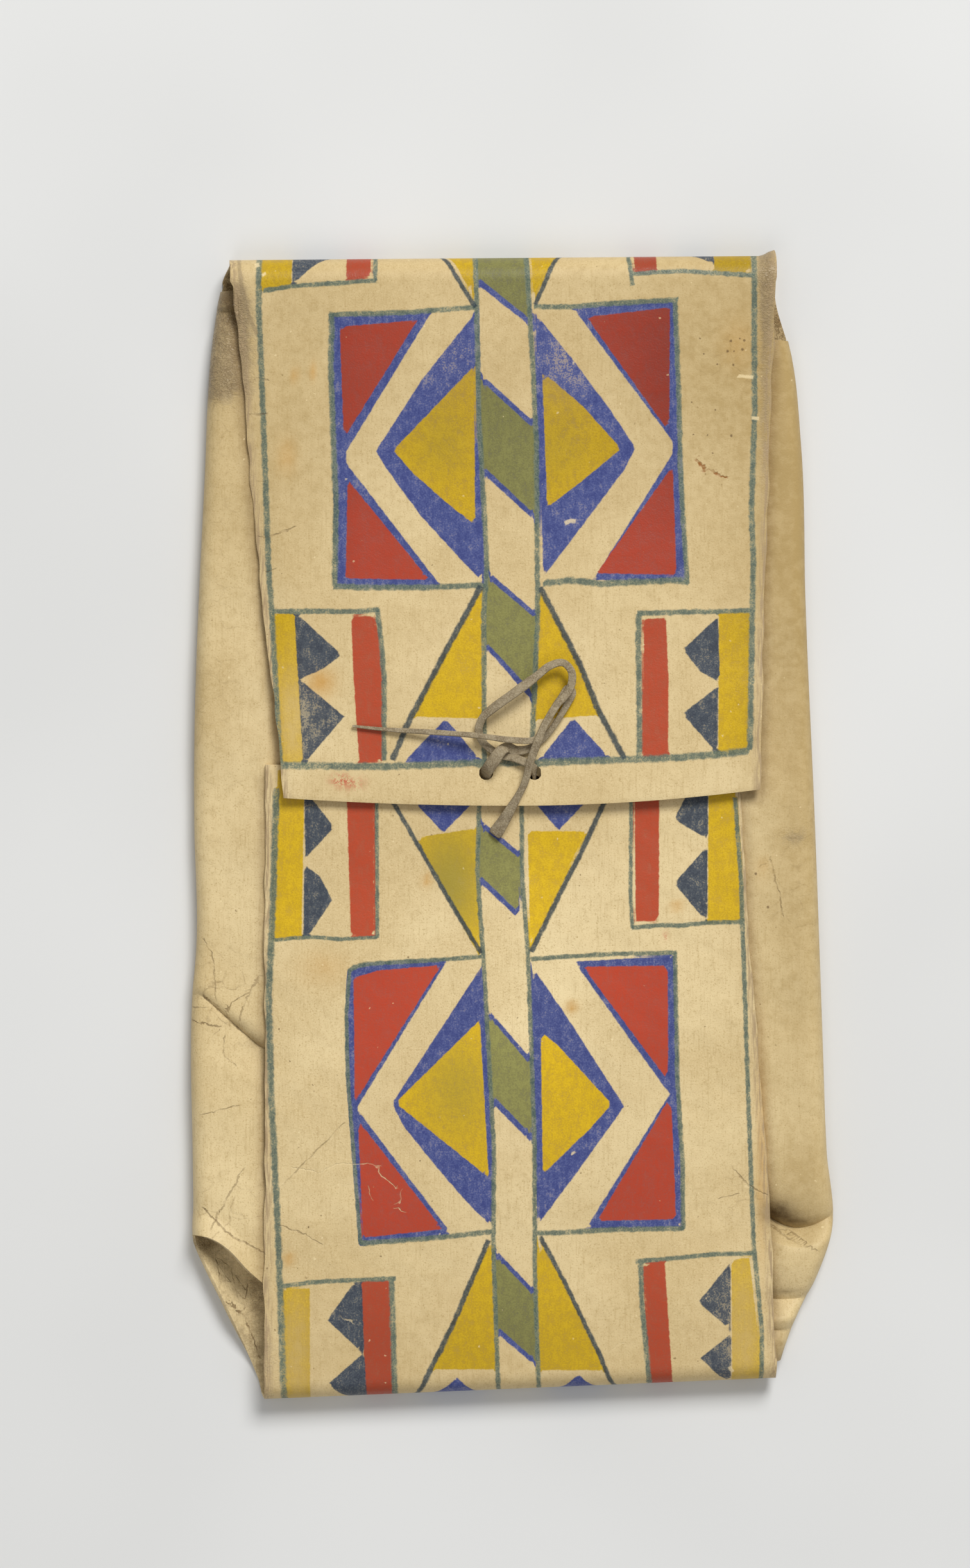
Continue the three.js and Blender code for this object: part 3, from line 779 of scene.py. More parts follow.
def grain_group() -> Tree:
    """Rawhide grain: broad tone, mottling, fine grain, fibres, pores, flecks, cracks and wrinkles.

    Returns:
        The node group.
    """
    names = ("Tone", "Mottle", "Grain", "Fibre", "Pores", "Flecks", "Crackle", "Wrinkle")
    effect = Effect("rawhide_grain", ("Vector",), names)
    place = effect.inside["Vector"]
    tone = effect.noise(place, 14.0, detail=3.0, rough=0.55)
    mottle = effect.noise(place, 170.0, detail=5.0, rough=0.62)
    grain = effect.noise(place, 1100.0, detail=3.0, rough=0.6)
    fibre = effect.noise(effect.stretched(place, (900.0, 70.0, 500.0)), 1.0, rough=0.6)
    frayed = effect.shifted(place, 800.0, 0.0018)
    cells = effect.add("ShaderNodeTexVoronoi", {"Vector": frayed, "Scale": 220.0, "Randomness": 1.0}).outputs
    picked = effect.add("ShaderNodeSeparateColor", {0: cells["Color"]}).outputs[0]
    gathered = effect.step(effect.noise(place, 40.0), 0.46, 0.64, 0.4, 1.0)
    pore = effect.times(effect.step(picked, 0.62, 1.0, 0.02, 0.2), gathered)
    pores = effect.step(cells["Distance"], pore, effect.times(pore, 0.4))
    fleck = effect.step(picked, 0.14, 0.0, 0.01, 0.18)
    flecks = effect.step(cells["Distance"], fleck, effect.times(fleck, 0.5))
    bent = {"Vector": effect.shifted(place, 60.0, 0.012), "Scale": 75.0}
    edges = effect.add("ShaderNodeTexVoronoi", bent, feature="DISTANCE_TO_EDGE").outputs["Distance"]
    crackle = effect.step(edges, 0.05, 0.0)
    ridge = effect.noise(effect.stretched(place, (380.0, 620.0, 500.0)), 1.0)
    wrinkle = effect.step(effect.maths("ABSOLUTE", effect.less(ridge, 0.5)), 0.07, 0.0)
    results = (tone, mottle, grain, fibre, pores, flecks, crackle, wrinkle)
    return effect.finished(dict(zip(names, results)))


def crayon_group() -> Tree:
    """Crayon laid on grain: a field with a wavering edge that skips the hollows of the hide.

    Returns:
        The node group.
    """
    names = ("Distance", "Waver", "Amount", "Soft", "Grain", "Skip", "Least")
    effect = Effect("crayon_field", names, ("Mask",))
    distance, waver, amount, soft, grain, skip, least = (effect.inside[name] for name in names)
    edge = effect.plus(distance, effect.times(effect.less(waver, 0.5), amount))
    inside = effect.step(edge, soft, effect.times(soft, -1.0))
    held = effect.step(grain, skip, effect.plus(skip, 0.12), least)
    return effect.finished({"Mask": effect.times(inside, held)})


def crack_group() -> Tree:
    """A crack along a line: it wanders, breaks off and thins out towards its ends.

    Returns:
        The node group.
    """
    names = ("Vector", "Across", "Past")
    effect = Effect("hide_crack", names, ("Mask",))
    place, across, past = (effect.inside[name] for name in names)
    wander = effect.less(effect.noise(place, 220.0, rough=0.6), 0.5)
    moved = effect.plus(across, effect.times(wander, 11.0))
    half = effect.step(past, -3.0, 0.0, 1.0, 0.4)
    outside = effect.less(effect.maths("ABSOLUTE", moved), half)
    body = effect.step(effect.maths("MAXIMUM", outside, past), 1.2, -0.3)
    broken = effect.step(effect.noise(place, 150.0), 0.38, 0.56, 0.3, 1.0)
    return effect.finished({"Mask": effect.times(body, broken)})


@dataclass(frozen=True)
class Effects:
    """Shader groups that the finishes share."""

    grain: Tree
    crayon: Tree
    crack: Tree


class Coat(Wiring):
    """The wiring of a new material."""

    def __init__(self, name: str) -> None:
        """Makes the material with nothing but its shader.

        Args:
            name: the material's name.
        """
        self.material = bpy.data.materials.new(name)
        self.material.use_nodes = True
        super().__init__(self.material.node_tree)
        self.shader = next(node for node in self.tree.nodes if node.type == "BSDF_PRINCIPLED")

    def finished(self, entries: dict) -> Material:
        """Gives the shader its entries by input name, and gives the material."""
        self.enter(self.shader, entries)
        return self.material


class HideCoat(Coat):
    """The wiring of a material of hide, with its grain."""

    def __init__(self, name: str, effects: Effects) -> None:
        """Makes the material and places the grain in it.

        Args:
            name: the material's name.
            effects: the shared shader groups.
        """
        super().__init__(name)
        self.effects = effects
        self.grain = self.group(effects.grain, {"Vector": self.place()})

    def crack(self, mark: Mark) -> Socket:
        """Where one kind of crack runs."""
        entries = {"Vector": self.place(), "Across": self.value(mark), "Past": self.value(mark, PAST)}
        return self.group(self.effects.crack, entries)["Mask"]


@dataclass(frozen=True)
class RawhideFinish:
    """Scraped rawhide: cream, mottled and a little glossy."""

    pale: Colour = colour(239, 217, 168)
    plain: Colour = colour(223, 199, 149)
    tan: Colour = colour(178, 151, 98)
    pore: Colour = colour(104, 78, 46)
    soil: Colour = colour(148, 128, 96)
    rust: Colour = colour(202, 154, 80)
    crack: Colour = colour(108, 80, 44)
    scar: Colour = colour(142, 84, 20)
    edge: Colour = colour(198, 178, 140)
    rim: Colour = colour(168, 144, 110)
    # Soiling, partly painted shade in hollows and beside the flap edges
    grime: Colour = colour(126, 99, 60)
    # Painted shade in creases and hollows
    dirt: Colour = colour(86, 66, 38)
    gloss: float = 0.25
    roughness: float = 0.5
    relief: float = 0.00035

    def base(self, coat: HideCoat) -> Socket:
        """Colour of the bare hide.

        Args:
            coat: the material's wiring.

        Returns:
            The colour.
        """
        shown = coat.mix(coat.step(coat.grain["Tone"], 0.36, 0.66), self.plain, self.pale)
        tints = (
            ("Mottle", 0.48, 0.8, 0.28, self.tan), ("Fibre", 0.5, 0.74, 0.3, self.tan),
            ("Grain", 0.53, 0.7, 0.75, self.pale), ("Grain", 0.46, 0.28, 0.7, self.tan),
        )
        for name, low, high, most, tint in tints:
            shown = coat.mix(coat.step(coat.grain[name], low, high, 0.0, most), shown, tint)
        flecked = coat.mix(coat.grain["Flecks"], shown, self.pale)
        return coat.mix(coat.times(coat.grain["Pores"], 0.8), flecked, self.pore)

    def marks(self) -> tuple[tuple[Mark, Colour, float], ...]:
        """Kinds of worn mark in the order they lie, with their colour and strength."""
        return (
            (Mark.BEND, self.soil, 0.6), (Mark.SCAR, self.scar, 0.95), (Mark.CHIP, self.pale, 0.7),
            (Mark.SCRATCH, self.pale, 0.55), (Mark.HAIR, self.crack, 0.45), (Mark.CRACK, self.crack, 0.62),
        )

    def inner(self, name: str, effects: Effects, whitened: float) -> Material:
        """Unpainted hide: its flesh side or its cut edge.

        Args:
            name: the material's name.
            effects: the shared shader groups.
            whitened: how much of the pale, hairy look of a cut edge it has.

        Returns:
            The material.
        """
        coat = HideCoat(name, effects)
        grain, grime = coat.grain, coat.value(Blot.GRIME)
        hairy = coat.step(grain["Fibre"], 0.35, 0.65, whitened * 0.4, whitened)
        soiled = coat.mix(coat.step(grain["Mottle"], 0.45, 0.7, 0.0, 0.45), self.base(coat), self.soil)
        patchy = coat.step(grain["Mottle"], 0.3, 0.6, 0.55, 1.0)
        # Brown soiling, partly painted shade under the free edges and in the hollows, darkens the flesh side
        # and the cut edge.
        grimy_and_shaded = coat.mix(coat.times(grime, patchy, True), coat.mix(hairy, soiled, self.edge), self.grime)
        wrinkled = coat.times(grain["Wrinkle"], grime, True)
        cracked = coat.maths("MAXIMUM", wrinkled, coat.crack(Mark.CRACK))
        height = coat.less(coat.plus(grain["Grain"], grain["Fibre"]), coat.times(cracked, 1.5))
        return coat.finished({
            "Base Color": coat.mix(coat.times(cracked, 0.7), grimy_and_shaded, self.crack),
            "Normal": coat.bump(height, self.relief, 0.7),
            "Roughness": coat.step(grain["Grain"], 0.3, 0.7, 0.62, 0.85),
            "Specular IOR Level": self.gloss,
        })


@dataclass(frozen=True)
class Lay:
    """How one pigment lies: thick and thin, its least hold, how much it darkens with the broad shift towards
    tan, wears sheer and rubs off.
    """

    pigment: Pigment
    full: Colour
    thin: Colour
    least: float
    tan_darkening: float
    sheer: float
    rub: float


@dataclass(frozen=True)
class PaintFinish:
    """Waxy pigment rubbed on the hide: how each one looks and how it goes on."""

    lays: tuple[Lay, ...] = (
        Lay(Pigment.BLUE, colour(42, 58, 124), colour(80, 93, 148), 0.8, 0.0, 0.03, 0.5),
        Lay(Pigment.YELLOW, colour(216, 177, 2), colour(194, 156, 14), 0.92, 0.8, 0.34, 0.0),
        Lay(Pigment.RED, colour(182, 64, 32), colour(172, 70, 44), 0.96, 0.8, 0.1, 0.0),
        Lay(Pigment.OLIVE, colour(142, 139, 76), colour(124, 120, 66), 0.9, 0.8, 0.25, 0.0),
        Lay(Pigment.INDIGO, colour(42, 54, 71), colour(76, 86, 96), 0.72, 0.0, 0.04, 0.14),
    )
    green: tuple[Colour, Colour] = (colour(74, 92, 84), colour(128, 134, 110))
    slate: tuple[Colour, Colour] = (colour(36, 50, 58), colour(76, 87, 88))
    smudge: Colour = colour(190, 88, 60)
    moss: Colour = colour(150, 134, 48)
    hold: float = 0.97
    skip: float = 0.34
    thin_to_full: Pair = (0.36, 0.64)
    plain_tan_shift: float = 0.3
    waver: float = 1.4
    soft: float = 0.42
    reach: float = 1.1
    line_hold: float = 0.93
    line_least: float = 0.52
    line_waver: float = 1.5
    line_soft: float = 0.4
    slate_least: float = 0.8
    flecked: float = 0.45


class PaintedHide:
    """The hide's outer side, with its paint, patches of tint, painted shade and wear."""

    def __init__(self, rawhide: RawhideFinish, paint: PaintFinish, effects: Effects) -> None:
        """Starts the material, with the waver of the paint's edges and the grain that it is laid on.

        Args:
            rawhide: the finish of the bare hide.
            paint: the finish of the paint.
            effects: the shared shader groups.
        """
        self.rawhide = rawhide
        self.paint = paint
        self.coat = coat = HideCoat("painted_rawhide", effects)
        self.place = coat.place()
        self.waver = coat.noise(self.place, 260.0, detail=3.0, rough=0.7)
        streak = coat.noise(coat.stretched(self.place, (420.0, 130.0, 300.0)), 1.0, detail=3.0, rough=0.6)
        rubbed = coat.plus(coat.times(coat.grain["Grain"], 0.65), coat.times(streak, 0.35))
        pressed = coat.less(coat.noise(self.place, 170.0), 0.5)
        uneven = coat.plus(rubbed, coat.times(pressed, 0.3))
        self.laid = coat.less(uneven, coat.times(coat.value(Blot.THIN), 0.1))

    def material(self) -> Material:
        """Puts the material together.

        Returns:
            The material.
        """
        coat, grain, soil = self.coat, self.coat.grain, self.coat.value(Blot.SOIL)
        painted, cover = self.fields(self.worn(self.rawhide.base(coat)))
        lined, cover = self.lines(painted, cover)
        marked, cracks = self.marks(lined)
        dull = self.rawhide.roughness
        rough = coat.step(grain["Grain"], 0.3, 0.75, dull - 0.08, dull + 0.12)
        gloss = coat.maths("MAXIMUM", coat.times(cover, 0.06), coat.times(soil, 0.2))
        height = coat.plus(coat.times(grain["Grain"], 0.7), coat.times(grain["Mottle"], 1.2))
        crumpled = coat.less(coat.noise(self.place, 420.0), coat.times(grain["Wrinkle"], 0.3))
        height = coat.plus(height, coat.times(coat.times(crumpled, soil), 4.0))
        sunk = coat.less(height, coat.times(cracks, 1.6))
        return coat.finished({
            "Base Color": marked,
            "Roughness": coat.less(rough, gloss),
            "Normal": coat.bump(sunk, self.rawhide.relief, 0.6),
            "Specular IOR Level": self.rawhide.gloss,
        })

    def worn(self, bare: Socket) -> Socket:
        """Bare hide with its patches of tint, its painted shade, pits and soiled edges, below the paint.

        Args:
            bare: the clean hide.

        Returns:
            The stained and shaded hide.
        """
        coat, grain, rawhide = self.coat, self.coat.grain, self.rawhide
        soil = coat.value(Blot.SOIL)
        # The last two tints here are painted shade: darkening in creases and hollows, and along the edges of
        # the flaps that lie over the side flaps, there with some soiling.
        stains_and_shade = (
            (coat.value(Blot.AGE), rawhide.tan),
            (coat.value(Blot.RUST), rawhide.rust),
            (coat.step(coat.less(soil, grain["Mottle"]), -0.35, 0.25, 0.0, 0.9), rawhide.soil),
            (coat.value(Blot.DIRT), rawhide.dirt),
            (coat.value(Wear.SHELTER), rawhide.grime),
        )
        patchy = coat.step(grain["Mottle"], 0.32, 0.68, 0.78, 1.0)
        shown = bare
        for strength, tint in stains_and_shade:
            shown = coat.mix(coat.times(strength, patchy, True), shown, tint)
        wrinkled = coat.times(grain["Wrinkle"], soil, True)
        shown = coat.mix(coat.times(wrinkled, 0.2), shown, rawhide.crack)
        shown = coat.mix(self.pits(), shown, rawhide.pore)
        fringe = coat.step(grain["Fibre"], 0.4, 0.6, 0.15, 0.9)
        hairy = coat.times(coat.step(coat.value(Wear.MARGIN), 6.5, 0.8), fringe)
        return coat.mix(hairy, shown, rawhide.rim)

    def pits(self) -> Socket:
        """Dark pits, each at its own place.

        Returns:
            The mask.
        """
        coat, ruler = self.coat, Ruler()
        level = coat.stretched(coat.shifted(self.place, 900.0, 0.0009), (1.0, 1.0, 0.0))
        nearest: Entry = 1.0
        for column, row, width in PITS:
            entries = {0: level, 1: (*ruler.places([(column, row)])[0], 0.0)}
            apart = coat.add("ShaderNodeVectorMath", entries, operation="DISTANCE").outputs["Value"]
            share = coat.maths("DIVIDE", apart, width / 2 * ruler.pixel)
            nearest = coat.maths("MINIMUM", share, nearest)
        return coat.step(nearest, 1.0, 0.35, 0.0, 0.75)

    def crayon(self, distance: Socket, waver: float, soft: float, least: Entry) -> Socket:
        """Where crayon holds.

        Args:
            distance: distance outside the edge of what is drawn.
            waver: how far the edge wavers.
            soft: how soft it is.
            least: how much holds in the hollows of the hide.

        Returns:
            The mask.
        """
        entries = {"Distance": distance, "Waver": self.waver, "Amount": waver, "Soft": soft}
        entries |= {"Grain": self.laid, "Skip": self.paint.skip, "Least": least}
        return self.coat.group(self.coat.effects.crayon, entries)["Mask"]

    def outside(self, mark: Mark) -> Socket:
        """Distance outside one kind of line: in half widths across it, in millimetres past its ends."""
        across = self.coat.less(self.coat.maths("ABSOLUTE", self.coat.value(mark)), 1.0)
        return self.coat.maths("MAXIMUM", across, self.coat.value(mark, PAST))

    def filled(self) -> Socket:
        """How far the fields run on up to the drawn lines beside them.

        Returns:
            The reach, in millimetres.
        """
        nearest: Entry = 1.0
        for mark in (Mark.UPRIGHT, Mark.LEVEL, Mark.SLANTED):
            nearest = self.coat.maths("MINIMUM", self.outside(mark), nearest)
        return self.coat.step(nearest, 1.0, 0.0, 0.0, self.paint.reach)

    def fields(self, bare: Socket) -> tuple[Socket, Socket]:
        """Fields of pigment, one over the other.

        Args:
            bare: the hide below.

        Returns:
            The painted colour, and how much paint there is.
        """
        coat, paint = self.coat, self.paint
        filled, thinned = self.filled(), coat.value(Blot.THIN)
        rubbed = coat.step(self.laid, *paint.thin_to_full)
        # Paint darkens with the broad shift towards tan, where that is above its plain level.
        tan_shifted = coat.less(coat.value(Blot.AGE), paint.plain_tan_shift)
        shown, cover = bare, 0.0
        for lay in paint.lays:
            distance = coat.less(coat.value(lay.pigment), filled)
            least = coat.less(lay.least, coat.times(thinned, lay.rub))
            mask = self.crayon(distance, paint.waver, paint.soft, least)
            tint = coat.mix(rubbed, lay.thin, lay.full)
            if lay.pigment is Pigment.YELLOW:
                tint = coat.mix(coat.value(Blot.MOSS), tint, paint.moss)
            if lay.tan_darkening:
                tint = coat.mix(1.0, tint, coat.less(1.0, coat.times(tan_shifted, lay.tan_darkening)), "MULTIPLY")
            held = coat.less(paint.hold, coat.times(thinned, lay.sheer))
            shown = coat.mix(coat.times(mask, held), shown, tint)
            cover = coat.maths("MAXIMUM", mask, cover)
        flecks = coat.times(coat.grain["Flecks"], paint.flecked)
        return coat.mix(flecks, shown, self.rawhide.pale), cover

    def line_mask(self, mark: Mark) -> Socket:
        """Where one kind of line is drawn."""
        least = self.paint.slate_least if mark is Mark.SLANTED else self.paint.line_least
        return self.crayon(self.outside(mark), self.paint.line_waver, self.paint.line_soft, least)

    def lines(self, painted: Socket, cover: Socket) -> tuple[Socket, Socket]:
        """Drawn lines over the fields.

        Args:
            painted: the colour below.
            cover: how much paint there is below.

        Returns:
            The colour with the lines, and how much paint there is.
        """
        coat, paint = self.coat, self.paint
        shown = painted
        rubbed = coat.step(self.laid, *paint.thin_to_full)
        tints = ((Mark.LEVEL, paint.green), (Mark.UPRIGHT, paint.green), (Mark.SLANTED, paint.slate))
        for mark, (full, thin) in tints:
            mask = self.line_mask(mark)
            shown = coat.mix(coat.times(mask, paint.line_hold), shown, coat.mix(rubbed, thin, full))
            cover = coat.maths("MAXIMUM", mask, cover)
        return shown, cover

    def marks(self, painted: Socket) -> tuple[Socket, Socket]:
        """Cracks, chips and smudges over the paint.

        Args:
            painted: the colour below.

        Returns:
            The marked colour, and the depth of the cracks.
        """
        coat, grain = self.coat, self.coat.grain
        smeared = coat.times(coat.value(Blot.SMUDGE), coat.step(self.laid, 0.44, 0.56), True)
        crazed = coat.times(grain["Crackle"], coat.value(Blot.CRAZE), True)
        cracks = coat.times(crazed, coat.step(grain["Mottle"], 0.4, 0.6, 0.0, 0.5))
        smudged = coat.mix(smeared, painted, self.paint.smudge)
        shown = coat.mix(coat.times(cracks, 0.7), smudged, self.rawhide.crack)
        for mark, tint, strength in self.rawhide.marks():
            if mark in (Mark.BEND, Mark.CHIP):
                mask = self.line_mask(mark)
            else:
                mask = coat.crack(mark)
                cracks = coat.maths("MAXIMUM", cracks, mask)
            shown = coat.mix(coat.times(mask, strength), shown, tint)
        return shown, cracks


@dataclass(frozen=True)
class BuckskinFinish:
    """Smoked, handled buckskin: grey-tan, matt and fibrous."""

    plain: Colour = colour(158, 143, 115)
    dark: Colour = colour(130, 115, 90)
    pale: Colour = colour(196, 182, 156)
    gloss: float = 0.15
    relief: float = 0.0006

    def material(self, effects: Effects) -> Material:
        """Makes the material.

        Args:
            effects: the shared shader groups.

        Returns:
            The material.
        """
        coat = HideCoat("buckskin", effects)
        grain = coat.grain
        tone = coat.mix(coat.step(grain["Mottle"], 0.36, 0.66), self.dark, self.plain)
        return coat.finished({
            "Base Color": coat.mix(coat.step(grain["Grain"], 0.42, 0.72, 0.0, 0.5), tone, self.pale),
            "Normal": coat.bump(coat.plus(grain["Grain"], grain["Mottle"]), self.relief, 0.8),
            "Roughness": coat.step(grain["Grain"], 0.3, 0.7, 0.82, 0.97),
            "Specular IOR Level": self.gloss,
        })


@dataclass(frozen=True)
class FloorFinish:
    """Plain pale studio floor."""

    pale: Colour = colour(226, 226, 224)
    shade: Colour = colour(220, 220, 218)
    roughness: float = 0.9

    def material(self) -> Material:
        """Makes the floor's material.

        Returns:
            The material.
        """
        coat = Coat("studio_floor")
        cloud = coat.step(coat.noise(coat.place(), 3.0), 0.3, 0.7)
        tone = coat.mix(cloud, self.pale, self.shade)
        return coat.finished({"Base Color": tone, "Roughness": self.roughness})


class Zone(Enum):
    """Stretches of the blank, from the upper flap's free end to the lower flap's."""

    UPPER_FLAP = 0
    UPPER_FOLD = 1
    BACK = 2
    LOWER_FOLD = 3
    LOWER_FLAP = 4


@dataclass(frozen=True)
class Pinch:
    """A pinched crease across a side flap, rounder above than below."""

    side: int
    place: float
    above: float
    below: float
    depth: float
    bow: float = 0.0
    tilt: float = 0.0
    overhang: float = 0.0

    def fold(self, distance: Array, along: Array) -> tuple[Array, Array]:
        """How the crease moves the flap.

        Args:
            distance: distance from the middle line.
            along: place along the envelope.

        Returns:
            How far each place sinks, and how far it slides along the envelope.
        """
        strip_inner, strip_width, bend_reach = 0.145, 0.042, 0.045
        inner_depth, outer_loss, roundness = 1.3, 0.75, 2.2
        fullest = 27 / 4  # brings the greatest of near squared times the rest of it to 1
        share = np.clip((distance - strip_inner) / strip_width, 0, 1)
        deep = inner_depth - outer_loss * share
        offset = along - self.place
        near = np.clip(1 - offset / self.above, 0, 1)
        low = np.clip(1 + offset / self.below, 0, 1)
        bend = self.tilt * (distance - strip_inner - strip_width / 2) - self.bow * np.sin(np.pi * share)
        bend = bend * (1 - ease(np.abs(offset), 0, bend_reach))
        drop = self.depth * deep * np.where(offset > 0, near**roundness, low)
        return drop, bend - self.overhang * deep * fullest * near**2 * (1 - near)


@dataclass
class FoldedHide:
    """The rawhide blank, folded round the pocket: its sizes, its mesh and its finish."""

    name: str = "folded_hide_skin"
    node: str = "folded_hide"
    flat_size: Pair = (0.70, 1.36)
    flat_area: float = 0.6135
    thickness: float = 0.0022
    rim_width: float = 0.0007
    rim_angle: float = math.radians(50)
    pocket_depth: float = 0.015
    layer_gap: float = 0.001
    flap_gap: float = 0.003
    lower_fold: float = -0.3285
    upper_fold: float = 0.330
    lower_slant: float = 0.0416
    upper_slant: float = 0.008
    slant_reach: float = 0.05
    left_outline: Pairs = (
        (-0.3285, 0.1438), (-0.3045, 0.1540), (-0.2820, 0.1658), (-0.2598, 0.1774), (-0.2395, 0.1856),
        (-0.2180, 0.1857), (-0.1896, 0.1861), (-0.1240, 0.1870), (-0.0600, 0.1836), (0.0004, 0.1852),
        (0.200, 0.1792), (0.285, 0.1742), (0.3115, 0.1700), (0.330, 0.1640),
    )
    right_outline: Pairs = (
        (-0.3285, 0.1538), (-0.3056, 0.1602), (-0.2830, 0.1673), (-0.2608, 0.1782), (-0.2364, 0.1866),
        (-0.1896, 0.1836), (-0.1196, 0.1811), (0.0004, 0.1768), (0.130, 0.1713), (0.220, 0.1688),
        (0.278, 0.1621), (0.304, 0.1545), (0.330, 0.1535),
    )
    left_flap: Pair = (-0.2361, 0.3115)
    right_flap: Pair = (-0.3250, 0.2813)
    flap_inner: float = 0.030
    cut_fade: float = 0.002
    left_end_slant: Pairs = (
        (0.030, 0.062), (0.090, 0.055), (0.1432, 0.0314), (0.1533, 0.0228), (0.164, 0.0109),
        (0.1756, 0.0035), (0.186, 0.002),
    )
    left_end_reach: float = 0.130
    lower_end: float = 0.035
    lower_left: Pairs = ((-0.3285, 0.1438), (-0.2006, 0.1435), (0.035, 0.143))
    lower_right: Pairs = ((-0.3285, 0.1535), (-0.2106, 0.1487), (-0.050, 0.1365), (0.035, 0.1315))
    lower_crown: float = 0.0012
    upper_end: float = 0.0112
    upper_end_rise: Pair = (0.0045, 0.0095)
    upper_left: Pairs = (
        (0.0112, 0.133), (0.0382, 0.1345), (0.1062, 0.1425), (0.1702, 0.149), (0.255, 0.156), (0.330, 0.1635),
    )
    upper_right: Pairs = ((0.0112, 0.144), (0.1062, 0.146), (0.330, 0.1535))
    upper_sag: float = 0.0024
    upper_lift: float = 0.0015
    lift_reach: float = 0.045
    edge_droop: float = 0.0016
    droop_share: float = 0.2
    edge_bend: float = 0.0018
    bend_share: float = 0.055
    upper_droop_span: Pair = (0.05, 0.11)
    lower_droop: float = 0.25
    edge_waver: float = 0.0005
    waver_wave: float = 0.05
    waver_seeds: tuple[int, int] = (3, 4)
    corner_tear: float = 0.0035
    tear_span: Pair = (0.144, 0.153)
    roll: float = 0.0007
    roll_wave: float = 0.19
    roll_seed: int = 11
    buckle: float = 0.00012
    buckle_wave: float = 0.034
    buckle_seed: int = 21
    stiff_span: Pair = (0.01, 0.06)
    side_roll: float = 1.4
    side_roll_wave: float = 0.12
    side_roll_seed: int = 31
    side_buckle_wave: float = 0.03
    side_buckle_seed: int = 41
    pinches: tuple[Pinch, ...] = (
        Pinch(1, -0.2262, 0.024, 0.013, 0.0130, 0.0085, -0.06, 0.0025),
        Pinch(1, -0.2722, 0.026, 0.013, 0.0075, 0.0030, 0.12, 0.0015),
        Pinch(1, -0.2939, 0.014, 0.010, 0.0030, 0.0010, 0.08),
        Pinch(-1, -0.1105, 0.007, 0.030, 0.0042, 0.0, 0.88, 0.0010),
        Pinch(-1, 0.3000, 0.005, 0.012, 0.0050),
    )
    pinch_span: Pair = (0.112, 0.150)
    crease_floor: float = 0.0042
    free_edge_lift: float = 0.0055
    free_edge_reach: float = 0.013
    free_edge_span: Pair = (0.143, 0.160)
    margin_curl: float = 0.011
    margin_reach: float = 0.016
    margin_fade: Pair = (0.002, -0.006)
    margin_foot: Pair = (0.006, 0.05)
    shelter_reach: float = 0.0042
    shelter_strength: float = 0.6
    line_clear: float = 0.0028
    hole_middle: float = -0.001
    hole_spacing: float = 0.028
    hole_radius: float = 0.0042
    upper_hole: float = 0.0302
    lower_hole: float = 0.025
    flap_rows: int = 104
    fold_rows: int = 16
    back_step: float = 0.0085
    fine_step: float = 0.0042
    least_step: float = 0.0011
    fine_span: Pair = (-0.255, -0.065)
    middle_columns: int = 104
    side_columns: int = 20
    fold_columns: int = 10
    seen_columns: int = 13
    seen_step: float = 0.003
    flesh_white: float = 0.15
    edge_white: float = 0.75

    def __post_init__(self) -> None:
        """Works out the heights of the layers, the fold radii between them and where the folds bend."""
        self.back_height = self.thickness / 2
        self.side_height = self.back_height + self.pocket_depth + self.thickness
        self.lower_height = self.side_height + self.layer_gap + self.thickness
        self.upper_height = self.lower_height + self.flap_gap + self.thickness
        self.side_radius = (self.side_height - self.back_height) / 2
        self.lower_radius = (self.lower_height - self.back_height) / 2
        self.upper_radius = (self.upper_height - self.back_height) / 2
        self.side_inset = self.side_radius + self.thickness / 2
        self.foot = self.lower_fold + self.thickness / 2 + self.lower_radius
        self.top = self.upper_fold - self.thickness / 2 - self.upper_radius
        self.flanks = self.side_columns + self.fold_columns

    def slant(self, places: Array) -> Array:
        """How much the rows of the back slant, which takes up the slant of each fold near it."""
        low = self.lower_slant * (1 - ease(places, self.foot, self.foot + self.slant_reach))
        return low + self.upper_slant * ease(places, self.top - self.slant_reach, self.top)

    def upper_edge(self, across: Array) -> Array:
        """Free end of the upper flap, rounded up towards its corners.

        Args:
            across: places across the envelope.

        Returns:
            The place along the envelope at which the flap ends.
        """
        rise = np.where(across < 0, *self.upper_end_rise)
        corner = np.where(across < 0, self.upper_left[0][1], self.upper_right[0][1])
        return self.upper_end + rise * (across / corner) ** 2

    def upper_surface(self, along: Array) -> Array:
        """Height of the upper flap, which sags halfway and lifts at its free end.

        Args:
            along: places along the envelope.

        Returns:
            The height of the middle of the hide.
        """
        start = self.upper_end + self.lift_reach
        share = np.clip((along - start) / (self.upper_fold - start), 0, 1)
        lift = self.upper_lift * (1 - ease(along, self.upper_end, start))
        return self.upper_height - self.upper_sag * np.sin(np.pi * share) ** 2 + lift

    def lower_surface(self, along: Array) -> Array:
        """Height of the lower flap, which crowns a little halfway."""
        share = np.clip((along - self.lower_fold) / (self.lower_end - self.lower_fold), 0, 1)
        return self.lower_height + self.lower_crown * np.sin(np.pi * share) ** 2

